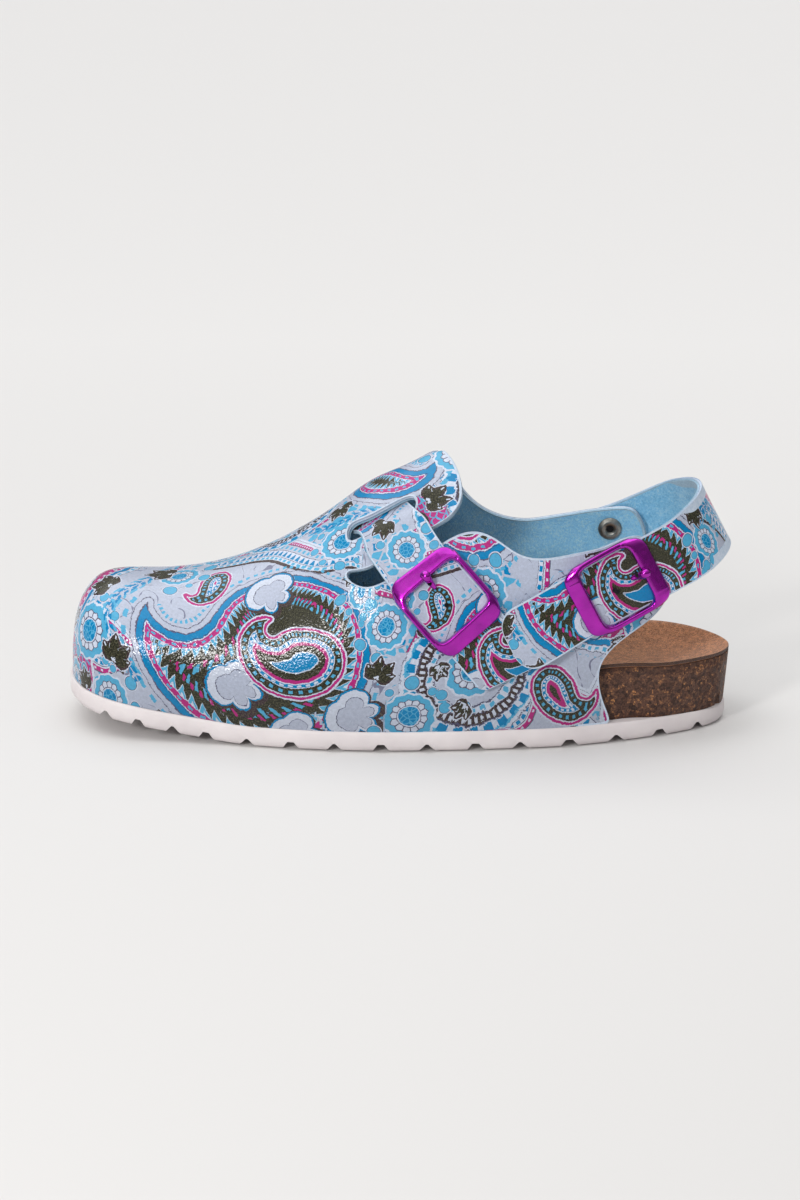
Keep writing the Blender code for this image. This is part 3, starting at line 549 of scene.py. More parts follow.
def round_fields(row, chart):
    """Places inside a round motif, in shares of its radius."""
    points = wrapped(chart, row.x, row.y)
    inside = row.radius - np.hypot(points[:, 0], points[:, 1])
    return points[:, 0] / row.radius, points[:, 1] / row.radius, inside


# Leaves of a spray: how each is turned, and its share of the full length
SPRIG_LEAVES = ((-58.0, 0.78), (-20.0, 1.0), (18.0, 0.94), (54.0, 0.7))
SPRIG_LEAF_WIDTH = 0.28
SPRIG_LEAF_BELLY = 0.8


def sprig_fields(row, chart):
    """Distance from the middle line of each leaf of a spray, and the depth inside it."""
    points = turned(wrapped(chart, row.x, row.y), row.turn)
    depth = np.full(len(points), -FAR)
    across = np.zeros(len(points))
    for spread, share in SPRIG_LEAVES:
        leaf = turned(points, spread)
        length = row.size * share
        part = np.clip(leaf[:, 0] / length, 0.0, 1.0)
        half = SPRIG_LEAF_WIDTH * row.size * np.sin(math.pi * part**SPRIG_LEAF_BELLY)
        past = np.maximum(np.abs(leaf[:, 0] - length / 2.0) - length / 2.0, 0.0)
        found = half - np.hypot(leaf[:, 1], past)
        deeper = found > depth
        depth[deeper] = found[deeper]
        across[deeper] = leaf[deeper, 1]
    return across, depth, depth


def trail_fields(row, chart):
    """Length along a trail, counted in steps, and the place across it from its right side."""
    width, pitch = TRAIL_SIZES[row.kind]
    points = np.asarray(row[1:])
    x, y = points.mean(axis=0)
    line = smooth_line(points - points.mean(axis=0), TRAIL_STEPS)
    distance, along, side = along_line(wrapped(chart, x, y), line)
    length = np.linalg.norm(np.diff(line, axis=0), axis=1).sum()
    ends = (along < TRAIL_END) | (along > length - TRAIL_END)
    across = np.where(ends, -distance, width / 2.0 + distance * side)
    return along / pitch, across, np.where(ends, -distance, width / 2.0 - distance)


FIELDS = {Drop: drop_fields, Round: round_fields, Sprig: sprig_fields, Trail: trail_fields}


def motif_rows():
    """All motifs of one repeat."""
    tables = ((Drop, DROPS), (Round, ROUNDS), (Sprig, SPRIGS), (Trail, TRAILS))
    rows = [form(kind, *row) for form, table in tables for kind, group in table.items() for row in group]
    return rows + beads(rows)


def store(piece, name, vectors):
    """Keeps three numbers with each point of a piece, for the inks to read."""
    held = piece.data.attributes.new(name, "FLOAT_VECTOR", "POINT")
    held.data.foreach_set("vector", vectors.astype(np.float32).ravel())


def print_on(piece, lay):
    """Stores the place of each point in its nearest motif, once for each layer of inks."""
    chart = chart_of(piece, lay.x, lay.z, lay.reach) + np.array(lay.shift)
    rows = motif_rows()
    for layer, kinds in LAYERS.items():
        best = np.full(len(chart), -FAR)
        stored = np.zeros((len(chart), 3))
        for row in rows:
            if row.kind not in kinds:
                continue
            motif = MOTIFS[row.kind]
            first, second, inside = FIELDS[type(row)](row, chart)
            nearer = inside > best
            best[nearer] = inside[nearer]
            stored[nearer, 0] = first[nearer]
            stored[nearer, 1] = second[nearer]
            stored[nearer, 2] = np.where(inside[nearer] > -motif.reach, motif.number, 0.0)
        store(piece, layer, stored)
    store(piece, "chart", np.column_stack([chart, np.zeros(len(chart))]))


# Building shader nodes

# Noise mostly lies between these two values
NOISE_LOW = 0.3
NOISE_HIGH = 0.7


class Nodes:
    """Short calls that add a node to a tree and return its output."""

    def __init__(self, tree):
        self.tree = tree

    def set(self, target, value):
        if isinstance(value, bpy.types.NodeSocket):
            self.tree.links.new(value, target)
        else:
            target.default_value = value

    def add(self, kind, values=None, **settings):
        made = self.tree.nodes.new(kind)
        for name, value in settings.items():
            setattr(made, name, value)
        for key, value in (values or {}).items():
            self.set(made.inputs[key], value)
        return made

    def group(self, tree, values):
        return self.add("ShaderNodeGroup", values, node_tree=tree).outputs

    def math(self, operation, *values):
        return self.add("ShaderNodeMath", dict(enumerate(values)), operation=operation).outputs[0]

    def times(self, first, second):
        return self.math("MULTIPLY", first, second)

    def plus(self, first, second):
        return self.math("ADD", first, second)

    def minus(self, first, second):
        return self.math("SUBTRACT", first, second)

    def above(self, value, limit):
        """1 where a value is greater than a limit."""
        return self.math("GREATER_THAN", value, limit)

    def below(self, value, limit):
        return self.math("LESS_THAN", value, limit)

    def between(self, value, low, high):
        return self.times(self.above(value, low), self.below(value, high))

    def spread(self, value, low, high, start, end):
        return self.add("ShaderNodeMapRange", {0: value, 1: low, 2: high, 3: start, 4: end}).outputs[0]

    def split(self, vector):
        return self.add("ShaderNodeSeparateXYZ", {0: vector}).outputs

    def triple(self, value):
        return self.add("ShaderNodeCombineXYZ", {0: value, 1: value, 2: value}).outputs[0]

    def attribute(self, name):
        return self.add("ShaderNodeAttribute", attribute_name=name).outputs["Vector"]

    def place(self):
        return self.add("ShaderNodeTexCoord").outputs["Object"]

    def noise(self, where, scale, detail=2.0, roughness=0.5):
        values = {"Vector": where, "Scale": scale, "Detail": detail, "Roughness": roughness}
        return self.add("ShaderNodeTexNoise", values).outputs[0]

    def wander(self, where, scale, detail, low, high):
        """A value that wanders between two limits over the surface."""
        return self.spread(self.noise(where, scale, detail), NOISE_LOW, NOISE_HIGH, low, high)

    def cells(self, where, scale, feature="F1"):
        return self.add("ShaderNodeTexVoronoi", {"Vector": where, "Scale": scale}, feature=feature).outputs

    def bump(self, height, distance, strength):
        values = {"Strength": strength, "Distance": distance, "Height": height}
        return self.add("ShaderNodeBump", values).outputs[0]

    def mix(self, share, low, high, blend="MIX"):
        values = {0: share, 6: low, 7: high}
        return self.add("ShaderNodeMix", values, data_type="RGBA", blend_type=blend).outputs[2]

    def ramp(self, value, stops, interpolation="LINEAR"):
        made = self.add("ShaderNodeValToRGB", {0: value})
        made.color_ramp.interpolation = interpolation
        elements = made.color_ramp.elements
        while len(elements) < len(stops):
            elements.new(1.0)
        for element, (position, colour) in zip(elements, stops):
            element.position = position
            element.color = colour
        return made.outputs[0]

    def tones(self, where, scale, detail, dark, light):
        """Two colours that run into each other in soft blotches."""
        stops = [(NOISE_LOW, linear(*dark)), (NOISE_HIGH, linear(*light))]
        return self.ramp(self.noise(where, scale, detail), stops)

    def zigzag(self, value):
        """Up from 0 to 1 and down again for each step of the value."""
        return self.times(self.math("PINGPONG", value, 0.5), 2.0)

    def bands(self, depth, first, *stops):
        """Flat bands of ink: the first one, and each other one from its depth in millimetres."""
        share = self.spread(depth, DEPTH_LOW, DEPTH_HIGH, 0.0, 1.0)
        reach = DEPTH_HIGH - DEPTH_LOW
        inks = [((at - DEPTH_LOW) / reach, INKS[name]) for at, name in ((DEPTH_LOW, first), *stops)]
        return self.ramp(share, inks, "CONSTANT")

    def ink(self, share, under, name):
        """Lays a named ink over a colour."""
        return self.mix(share, under, INKS[name])

    def blocks(self, along, share, depth, low, high):
        """Blocks in a row, between two depths, that fill a share of each step along it."""
        return self.times(self.above(self.zigzag(along), 1.0 - share), self.between(depth, low, high))

    def teeth(self, under, along, depth, *rows):
        """Rows of blocks over a colour: for each the share of a step, two depths and the ink."""
        for share, low, high, name in rows:
            under = self.ink(self.blocks(along, share, depth, low, high), under, name)
        return under


def new_group(name, inputs, outputs):
    """A shader node group with named sockets: its nodes, its inputs and its output sockets."""
    tree = bpy.data.node_groups.new(name, "ShaderNodeTree")
    for label, kind in inputs.items():
        tree.interface.new_socket(label, in_out="INPUT", socket_type=kind)
    for label, kind in outputs.items():
        tree.interface.new_socket(label, in_out="OUTPUT", socket_type=kind)
    nodes = Nodes(tree)
    return nodes, nodes.add("NodeGroupInput").outputs, nodes.add("NodeGroupOutput").inputs


FLOAT = "NodeSocketFloat"
COLOUR = "NodeSocketColor"
VECTOR = "NodeSocketVector"
MOTIF_INPUTS = {"First": FLOAT, "Second": FLOAT, "Drift": FLOAT, "Chart": VECTOR}
MOTIF_OUTPUTS = {"Ink": COLOUR, "Cover": FLOAT}
DISC_DEPTH = 10.0


# Inks of each kind of motif, and where they cover what lies below


def disc(nodes, given, petals=1.0):
    """Depth from the rim of a round motif, 10 at its middle, and the angle counted in petals."""
    flat = nodes.add("ShaderNodeCombineXYZ", {0: given["First"], 1: given["Second"]}).outputs[0]
    radius = nodes.add("ShaderNodeVectorMath", {0: flat}, operation="LENGTH").outputs["Value"]
    depth = nodes.times(nodes.minus(1.0, radius), DISC_DEPTH)
    angle = nodes.math("ARCTAN2", given["Second"], given["First"])
    turns = nodes.times(angle, petals / (2.0 * math.pi))
    return nodes.plus(depth, given["Drift"]), turns


def drifted(nodes, given, share=1.0):
    """The second place in a motif, moved a little so that its lines look drawn by hand."""
    return nodes.plus(given["Second"], nodes.times(given["Drift"], share))


def ladder_inks(nodes, given):
    along = given["First"]
    across = drifted(nodes, given, 0.5)
    ink = nodes.bands(
        across, "ground", (0.0, "plum"), (1.2, "pale"), (2.9, "line"), (3.15, "pale"), (6.0, "line"),
        (6.2, "ground"), (8.7, "line"), (8.9, "magenta"), (10.1, "pale"), (11.0, "line"), (11.2, "pale"),
    )
    ink = nodes.teeth(ink, along, across, (0.6, 1.5, 2.6, "sky"), (0.5, 6.9, 8.2, "sky"))
    wedge = nodes.above(nodes.zigzag(along), nodes.spread(across, 3.4, 5.7, 0.15, 0.8))
    ink = nodes.ink(nodes.times(wedge, nodes.between(across, 3.5, 5.6)), ink, "blue")
    ink = nodes.teeth(ink, nodes.times(along, 2.0), across, (0.45, 9.2, 9.8, "pale"))
    return ink, nodes.between(across, 0.0, 12.0)


def cobble_inks(nodes, given):
    depth, turns = disc(nodes, given)
    edge = nodes.cells(given["Chart"], 0.3, "DISTANCE_TO_EDGE")[0]
    pick = nodes.split(nodes.cells(given["Chart"], 0.3)["Color"])
    stone = nodes.above(edge, nodes.spread(given["Drift"], -0.5, 0.5, 0.05, 0.15))
    kept = nodes.above(depth, nodes.spread(pick[0], 0.0, 1.0, -0.5, 6.0))
    ink = nodes.ink(nodes.above(pick[1], 0.82), INKS["sky"], "blue")
    return ink, nodes.times(stone, kept)


def boteh_inks(nodes, given):
    along = given["First"]
    depth = drifted(nodes, given)
    lean = nodes.plus(along, nodes.times(given["Second"], 0.2))
    rim = nodes.bands(
        depth, "ground", (-2.0, "line"), (-1.75, "ground"), (-0.15, "line"), (0.15, "blue"), (2.0, "deep"),
        (2.3, "pale"), (2.7, "magenta"), (4.4, "pale"), (4.7, "olive"),
    )
    rim = nodes.teeth(rim, along, depth, (0.4, 3.2, 3.9, "sky"))
    flame = nodes.minus(depth, nodes.times(nodes.zigzag(lean), 3.0))
    core = nodes.bands(flame, "pale", (2.7, "sky"), (4.1, "pale"), (4.5, "olive"))
    core = nodes.teeth(core, lean, depth, (0.3, 8.6, 10.2, "magenta"))
    core = nodes.teeth(core, nodes.plus(lean, 0.5), depth, (0.34, 9.2, 11.8, "sky"))
    ink = nodes.mix(nodes.above(depth, 4.6), rim, core)
    dots = nodes.blocks(along, 0.5, depth, -4.3, -3.1)
    return nodes.ink(dots, ink, "sky"), nodes.math("MAXIMUM", dots, nodes.above(depth, -2.0))


def pod_inks(nodes, given):
    depth = drifted(nodes, given)
    ink = nodes.bands(
        depth, "ground", (-2.2, "line"), (-2.0, "pale"), (-0.15, "line"), (0.1, "blue"), (1.7, "pale"),
        (2.1, "magenta"), (5.2, "plum"), (5.5, "magenta"), (7.0, "pale"), (7.3, "plum"), (8.4, "magenta"),
    )
    ink = nodes.teeth(ink, given["First"], depth, (0.5, -1.6, -0.6, "sky"), (0.42, 2.5, 3.4, "pale"))
    return ink, nodes.above(depth, -2.2)


def wheel_inks(nodes, given):
    depth, turns = disc(nodes, given, 26.0)
    ink = nodes.bands(
        depth, "ground", (-0.6, "line"), (-0.45, "pale"), (0.0, "sky"), (0.4, "pale"), (1.7, "line"),
        (1.85, "plum"), (3.1, "line"), (3.25, "pale"), (4.4, "line"), (4.55, "ground"),
    )
    ink = nodes.teeth(ink, turns, depth, (0.62, 0.3, 1.5, "blue"), (0.55, 3.5, 4.2, "sky"))
    ink = nodes.teeth(ink, nodes.times(turns, 2.0), depth, (0.5, 2.15, 2.8, "pale"))
    return ink, nodes.above(depth, -0.6)


def medallion_inks(nodes, given):
    depth, turns = disc(nodes, given, 16.0)
    rows = nodes.times(depth, 0.72)
    odd = nodes.times(nodes.math("FLOOR", rows), 0.5)
    across = nodes.minus(nodes.math("FRACT", nodes.plus(turns, odd)), 0.5)
    arch = nodes.minus(0.9, nodes.times(nodes.times(across, across), 3.0))
    gap = nodes.math("ABSOLUTE", nodes.minus(nodes.math("FRACT", rows), arch))
    net = nodes.times(nodes.below(gap, 0.17), nodes.between(depth, 0.6, 5.8))
    ink = nodes.bands(
        depth, "ground", (-1.1, "line"), (-0.9, "pale"), (0.0, "magenta"), (5.9, "line"), (6.1, "olive")
    )
    return nodes.ink(net, ink, "sky"), nodes.above(depth, -1.1)


def curl_inks(nodes, given):
    depth = drifted(nodes, given, 0.7)
    ink = nodes.bands(
        depth, "ground", (-1.3, "pale"), (-0.8, "magenta"), (-0.1, "pale"), (0.3, "olive"), (2.4, "pale"),
        (2.7, "blue"), (3.7, "pale"), (4.0, "magenta"), (5.0, "olive"), (7.2, "pale"), (7.5, "blue"),
    )
    ink = nodes.teeth(ink, given["First"], depth, (0.42, 0.9, 1.8, "sky"), (0.5, 2.9, 3.5, "pale"))
    return ink, nodes.above(depth, -1.3)


def rosette_inks(nodes, given):
    depth, turns = disc(nodes, given, 13.0)
    scallop = nodes.minus(depth, nodes.times(nodes.zigzag(turns), 0.8))
    rim = nodes.bands(scallop, "ground", (-0.9, "pale"), (0.0, "sky"), (2.4, "line"), (2.75, "pale"))
    heart = nodes.bands(depth, "pale", (5.2, "line"), (5.55, "pale"), (6.0, "blue"))
    ink = nodes.mix(nodes.above(depth, 4.4), rim, heart)
    ink = nodes.teeth(ink, turns, depth, (0.16, 3.2, 5.3, "line"))
    net = nodes.below(nodes.cells(given["Chart"], 0.75, "DISTANCE_TO_EDGE")[0], 0.08)
    ink = nodes.ink(nodes.times(net, nodes.above(depth, 6.0)), ink, "sky")
    return ink, nodes.above(scallop, -0.9)


def blossom_inks(nodes, given):
    depth, turns = disc(nodes, given)
    angle = nodes.times(turns, 2.0 * math.pi)
    uneven = nodes.times(nodes.math("SINE", nodes.plus(angle, 0.6)), 0.42)
    petals = nodes.plus(nodes.times(turns, 4.0), uneven)
    lobe = nodes.math("POWER", nodes.zigzag(petals), 2.4)
    scallop = nodes.minus(depth, nodes.times(lobe, 2.7))
    shade = nodes.math("MAXIMUM", nodes.math("COSINE", nodes.plus(angle, 0.9)), 0.0)
    inner = nodes.minus(scallop, nodes.times(shade, 1.9))
    ink = nodes.bands(scallop, "ground", (0.0, "plum"), (0.8, "white"), (3.6, "line"), (3.8, "ground"))
    crescent = nodes.bands(inner, "plum", (0.3, "blue"), (1.0, "white"))
    return nodes.mix(nodes.between(inner, -2.2, 1.0), ink, crescent), nodes.above(scallop, 0.0)


def bead_inks(nodes, given):
    depth, turns = disc(nodes, given)
    ink = nodes.bands(depth, "ground", (-1.6, "pale"), (-0.2, "line"), (0.8, "sky"))
    return ink, nodes.above(depth, -1.6)


def sprig_inks(nodes, given):
    depth = drifted(nodes, given, 0.8)
    ink = nodes.bands(depth, "ground", (-0.35, "pale"), (0.0, "plum"), (0.6, "olive"))
    rib = nodes.below(nodes.math("ABSOLUTE", given["First"]), 0.22)
    rib = nodes.times(rib, nodes.between(depth, 0.5, 1.25))
    return nodes.ink(rib, ink, "pale"), nodes.above(depth, -0.35)


def chain_inks(nodes, given):
    away = nodes.math("ABSOLUTE", nodes.minus(given["Second"], 2.5))
    lean = nodes.plus(given["First"], nodes.times(away, 0.34))
    leaf = nodes.below(nodes.math("FRACT", nodes.plus(lean, given["Drift"])), 0.6)
    ink = nodes.ink(nodes.above(away, 1.3), INKS["blue"], "sky")
    return ink, nodes.times(leaf, nodes.between(away, 0.15, 2.2))


def ribbon_inks(nodes, given):
    across = drifted(nodes, given, 0.6)
    ink = nodes.bands(
        across, "ground", (0.0, "line"), (0.25, "magenta"), (1.7, "pale"), (2.1, "line"), (2.3, "pale"),
        (3.9, "line"),
    )
    ink = nodes.teeth(ink, given["First"], across, (0.3, 0.7, 1.3, "pale"), (0.6, 2.6, 3.7, "blue"))
    return ink, nodes.between(across, 0.0, 4.1)


# Each kind of motif: its number in the stored layers, how far beyond its rim it draws, and its inks
Motif = namedtuple("Motif", "number reach draw")
MOTIFS = {
    "ladder": Motif(1, 1.0, ladder_inks),
    "cobble": Motif(2, 1.2, cobble_inks),
    "boteh": Motif(3, 6.0, boteh_inks),
    "pod": Motif(4, 3.5, pod_inks),
    "wheel": Motif(5, 1.6, wheel_inks),
    "medallion": Motif(6, 1.6, medallion_inks),
    "curl": Motif(7, 2.5, curl_inks),
    "rosette": Motif(8, 1.2, rosette_inks),
    "blossom": Motif(9, 1.0, blossom_inks),
    "bead": Motif(10, 0.8, bead_inks),
    "sprig": Motif(11, 0.9, sprig_inks),
    "chain": Motif(12, 0.8, chain_inks),
    "ribbon": Motif(13, 0.8, ribbon_inks),
}


def ink_group(kind):
    nodes, given, out = new_group(kind + "_inks", MOTIF_INPUTS, MOTIF_OUTPUTS)
    ink, cover = MOTIFS[kind].draw(nodes, given)
    nodes.set(out["Ink"], ink)
    nodes.set(out["Cover"], cover)
    return nodes.tree


def grain_group():
    """Fine pebbles and pores of leather, as a height."""
    nodes, given, out = new_group("leather_grain", {"Place": VECTOR, "Size": FLOAT}, {"Height": FLOAT})
    scale = nodes.math("DIVIDE", 1.0, given["Size"])
    warp = nodes.triple(nodes.noise(given["Place"], nodes.times(scale, 0.4)))
    step = {0: warp, "Scale": nodes.times(given["Size"], 1.5)}
    moved = nodes.add("ShaderNodeVectorMath", step, operation="SCALE").outputs[0]
    place = nodes.add("ShaderNodeVectorMath", {0: given["Place"], 1: moved}, operation="ADD").outputs[0]
    pebbles = nodes.cells(place, scale)[0]
    fine = nodes.noise(given["Place"], nodes.times(scale, 2.6), 3.0)
    nodes.set(out["Height"], nodes.plus(nodes.times(pebbles, -0.7), nodes.times(fine, 0.12)))
    return nodes.tree


def fuzz_group():
    """Matted fibres, as a mottling and a height."""
    outputs = {"Mottle": FLOAT, "Height": FLOAT}
    nodes, given, out = new_group("matted_fibres", {"Place": VECTOR, "Size": FLOAT}, outputs)
    scale = nodes.math("DIVIDE", 1.0, given["Size"])
    broad = nodes.noise(given["Place"], nodes.times(scale, 0.3), 3.0, 0.6)
    fine = nodes.noise(given["Place"], scale, 5.0, 0.75)
    nodes.set(out["Mottle"], nodes.plus(nodes.times(broad, 0.3), nodes.times(fine, 0.7)))
    nodes.set(out["Height"], fine)
    return nodes.tree


PRINTS = {kind: ink_group(kind) for kind in MOTIFS}
GRAIN = grain_group()
FUZZ = fuzz_group()


# Materials, with the sizes of their patterns in metres


def new_material(name, **values):
    """A material with a Principled shader, whose constant values are set on its sockets."""
    made = bpy.data.materials.new(name)
    made.use_nodes = True
    surface = made.node_tree.nodes["Principled BSDF"]
    for key, value in values.items():
        surface.inputs[key.replace("_", " ")].default_value = value
    return made, Nodes(made.node_tree), surface.inputs


def print_layer(nodes, layer, below, drift, chart):
    """Lays one layer of inks over what lies below it."""
    split = nodes.split(nodes.attribute(layer))
    colour = below
    for kind in LAYERS[layer]:
        values = {"First": split[0], "Second": split[1], "Drift": drift, "Chart": chart}
        ink = nodes.group(PRINTS[kind], values)
        number = MOTIFS[kind].number
        chosen = nodes.between(split[2], number - 0.5, number + 0.5)
        colour = nodes.mix(nodes.times(ink["Cover"], chosen), colour, ink["Ink"])
    return colour


def printed_leather():
    made, nodes, surface = new_material("printed_leather", Specular_IOR_Level=0.32)
    place = nodes.place()
    chart = nodes.attribute("chart")
    slow = nodes.minus(nodes.noise(chart, 0.35, 1.0), 0.5)
    quick = nodes.minus(nodes.noise(chart, 1.6, 2.0, 0.6), 0.5)
    drift = nodes.plus(nodes.times(slow, 1.2), nodes.times(quick, 0.9))
    contour = nodes.math("ABSOLUTE", nodes.minus(nodes.noise(chart, 0.085, 1.0), 0.5))
    sketch = nodes.below(contour, nodes.spread(slow, -0.1, 0.2, 0.0, 0.012))
    colour = nodes.ink(nodes.times(sketch, 0.7), INKS["ground"], "line")
    for layer in LAYERS:
        colour = print_layer(nodes, layer, colour, drift, chart)
    dark = nodes.below(nodes.add("ShaderNodeRGBToBW", {0: colour}).outputs[0], 0.1)
    flecks = nodes.spread(nodes.noise(chart, 2.2, 3.0, 0.75), 0.5, 0.6, 0.0, 0.6)
    colour = nodes.ink(nodes.times(dark, flecks), colour, "fleck")
    streaks = nodes.spread(nodes.noise(chart, 1.1, 4.0, 0.8), NOISE_LOW, NOISE_HIGH, 0.82, 1.12)
    # Painted shade: the colour is darkened towards the sole
    height = nodes.split(place)[2]
    painted_shade = nodes.spread(height, PAINTED_SHADE_LOW * MM, PAINTED_SHADE_HIGH * MM, PAINTED_SHADE_DARK, 1.0)
    tint = nodes.triple(nodes.times(streaks, painted_shade))
    nodes.set(surface["Base Color"], nodes.mix(1.0, colour, tint, "MULTIPLY"))
    nodes.set(surface["Roughness"], nodes.wander(place, 1200.0, 3.0, 0.11, 0.19))
    grain = nodes.group(GRAIN, {"Place": place, "Size": 0.001})["Height"]
    nodes.set(surface["Normal"], nodes.bump(grain, 0.00016, 0.7))
    return made


def fibrous(name, size, nap, strength, tones, **values):
    """A matted surface, with the size of its fibres and the depth of its nap."""
    made, nodes, surface = new_material(name, **values)
    fuzz = nodes.group(FUZZ, {"Place": nodes.place(), "Size": size})
    stops = [(share, linear(*tone)) for share, tone in tones]
    nodes.set(surface["Base Color"], nodes.ramp(fuzz["Mottle"], stops))
    if nap:
        nodes.set(surface["Normal"], nodes.bump(fuzz["Height"], nap, strength))
    return made


def cut_edge():
    """The raw edge of the leather: pale, fibrous and matt."""
    tones = [(0.3, (168, 190, 214)), (0.7, (222, 231, 242))]
    return fibrous("cut_edge", 0.0007, 0.0003, 0.6, tones, Roughness=0.85)


def flesh_side():
    """The hidden back of the leather and of the felt."""
    tones = [(0.3, (120, 140, 160)), (0.7, (160, 180, 198))]
    return fibrous("flesh_side", 0.001, 0.0, 0.0, tones, Roughness=0.9)


def felt(name, dark, middle, light):
    tones = [(0.36, dark), (0.5, middle), (0.64, light)]
    look = {"Roughness": 0.95, "Sheen_Weight": 0.35, "Sheen_Roughness": 0.5, "Specular_IOR_Level": 0.2}
    return fibrous(name, 0.0009, 0.0009, 0.8, tones, **look)


def felt_edge():
    """The cut edge of the felt, paler than its face."""
    tones = [(0.3, (136, 178, 204)), (0.7, (192, 220, 238))]
    look = {"Roughness": 0.95, "Sheen_Weight": 0.3, "Specular_IOR_Level": 0.2}
    return fibrous("felt_edge", 0.0008, 0.0007, 0.8, tones, **look)


def suede(name, dark, light):
    tones = [(0.4, dark), (0.6, light)]
    look = {"Roughness": 0.92, "Sheen_Weight": 0.25, "Sheen_Roughness": 0.6, "Specular_IOR_Level": 0.2}
    return fibrous(name, 0.0006, 0.0007, 0.8, tones, **look)


def foam():
    made, nodes, surface = new_material("foam", Roughness=0.62, Specular_IOR_Level=0.35)
    place = nodes.place()
    nodes.set(surface["Base Color"], nodes.tones(place, 60.0, 3.0, (221, 213, 214), (234, 227, 227)))
    skin = nodes.noise(place, 1500.0, 4.0, 0.6)
    nodes.set(surface["Normal"], nodes.bump(skin, 0.00012, 0.5))
    return made


def cork():
    made, nodes, surface = new_material("cork", Specular_IOR_Level=0.4)
    place = nodes.place()
    chips = nodes.cells(place, 700.0)
    pick = nodes.split(chips["Color"])
    fine = nodes.split(nodes.cells(place, 1900.0)["Color"])
    stops = [
        (0.1, linear(46, 29, 23)),
        (0.45, linear(80, 54, 43)),
        (0.72, linear(102, 70, 54)),
        (0.86, linear(140, 96, 66)),
        (0.98, linear(200, 138, 82)),
    ]
    share = nodes.plus(nodes.times(pick[0], 0.55), nodes.times(fine[1], 0.45))
    nodes.set(surface["Base Color"], nodes.ramp(share, stops))
    nodes.set(surface["Roughness"], nodes.spread(pick[1], 0.0, 1.0, 0.5, 0.72))
    height = nodes.plus(nodes.times(chips[0], -0.6), nodes.times(fine[2], 0.4))
    nodes.set(surface["Normal"], nodes.bump(height, 0.0004, 0.6))
    return made


def violet_metal():
    made, nodes, surface = new_material("violet_metal", Metallic=1.0, Coat_Weight=0.6, Coat_Roughness=0.06)
    place = nodes.place()
    nodes.set(surface["Base Color"], nodes.tones(place, 180.0, 2.0, (158, 14, 160), (184, 28, 182)))
    nodes.set(surface["Roughness"], nodes.wander(place, 700.0, 3.0, 0.16, 0.26))
    nodes.set(surface["Normal"], nodes.bump(nodes.noise(place, 2400.0), 0.00003, 0.3))
    return made


def rivet_steel():
    made, nodes, surface = new_material("rivet_steel", Metallic=1.0)
    place = nodes.place()
    nodes.set(surface["Base Color"], nodes.tones(place, 500.0, 3.0, (122, 122, 118), (166, 166, 160)))
    nodes.set(surface["Roughness"], nodes.wander(place, 1800.0, 3.0, 0.32, 0.5))
    return made


def hollow_painted_shade():
    """Painted shade: near-black for the inside of a punched hole and for the rivet's shank, in place of the
    shade inside them.
    """
    made, nodes, surface = new_material("hollow_painted_shade", Roughness=0.8, Specular_IOR_Level=0.2)
    nodes.set(surface["Base Color"], nodes.tones(nodes.place(), 900.0, 2.0, (18, 18, 20), (34, 34, 38)))
    return made


def seamless_paper():
    """Pale paper whose colour is painted lighter away from the camera: painted light, standing in for how the
    lamps' light falls across the floor.
    """
    made, nodes, surface = new_material("seamless_paper", Roughness=0.9, Specular_IOR_Level=0.1)
    place = nodes.place()
    # Painted light: the paper's colour runs from darker near the camera to lighter far away
    away = nodes.spread(nodes.split(place)[1], -0.5, 2.5, 0.0, 1.0)
    tone = nodes.plus(away, nodes.wander(place, 0.6, 2.0, -0.01, 0.01))
    stops = [(0.03, linear(213, 212, 211)), (0.13, linear(222, 221, 220)), (0.42, linear(235, 234, 233))]
    nodes.set(surface["Base Color"], nodes.ramp(tone, stops))
    return made


MATERIALS = {
    "print": printed_leather(),
    "edge": cut_edge(),
    "flesh": flesh_side(),
    "felt": felt("felt", (108, 180, 224), (142, 210, 248), (184, 230, 254)),
    # Painted light: the lining felt is a lighter copy of the strap felt, brightening the inside of the shoe
    # where little light falls
    "lining": felt("lining_felt_painted_lighter", (128, 200, 246), (150, 216, 254), (186, 234, 255)),
    "felt_edge": felt_edge(),
    "foam": foam(),
    "cork": cork(),
    "suede": suede("suede", (124, 75, 47), (220, 150, 102)),
    "suede_edge": suede("suede_edge", (58, 38, 28), (92, 62, 46)),
    "violet": violet_metal(),
    "steel": rivet_steel(),
    "hole": hollow_painted_shade(),
    "paper": seamless_paper(),
}


# Pieces


def dress(piece, materials, slot, *nodes):
    """Gives a piece its materials, and lets it stand for CAD nodes."""
    for name in materials:
        piece.data.materials.append(MATERIALS[name])
    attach(piece, "root")
    if nodes:
        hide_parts(*nodes)


Crease = namedtuple("Crease", "start end width depth")
CREASES = [
    Crease((-17.0, 58.0), (-4.0, 39.0), 5.0, 0.45),
    Crease((-25.0, 53.0), (-13.0, 35.0), 4.5, -0.3),
    Crease((-37.0, 66.0), (-28.0, 49.0), 5.0, 0.4),
    Crease((-48.0, 62.0), (-41.0, 46.0), 5.5, -0.3),
    Crease((10.0, 25.0), (45.0, 20.0), 5.0, 0.35),
    Crease((46.0, 46.0), (64.0, 30.0), 5.0, 0.35),
]
CREASE_WAY = np.array([0.0, 0.93, -0.37])
CREASE_FADE = 12.0


def press_creases(piece):
    """Soft troughs, and ridges where the depth is below zero, on the outer side of the upper."""
    at = places(piece.data)
    side = at[:, [0, 2]]
    outer = np.clip(-at[:, 1] / CREASE_FADE, 0.0, 1.0)
    for row in CREASES:
        start = np.array(row.start)
        step = np.array(row.end) - start
        share = (side - start) @ step / (step @ step)
        away = np.linalg.norm(side - start - np.clip(share, 0.0, 1.0)[:, None] * step, axis=1)
        dip = row.depth * np.exp(-((away / row.width) ** 2) * 2.0)
        at += (dip * outer)[:, None] * CREASE_WAY
    piece.data.vertices.foreach_set("co", (at * MM).ravel())
    piece.data.update()


HOLE_RADIUS = 0.85
PUNCH_LENGTH = 8.0


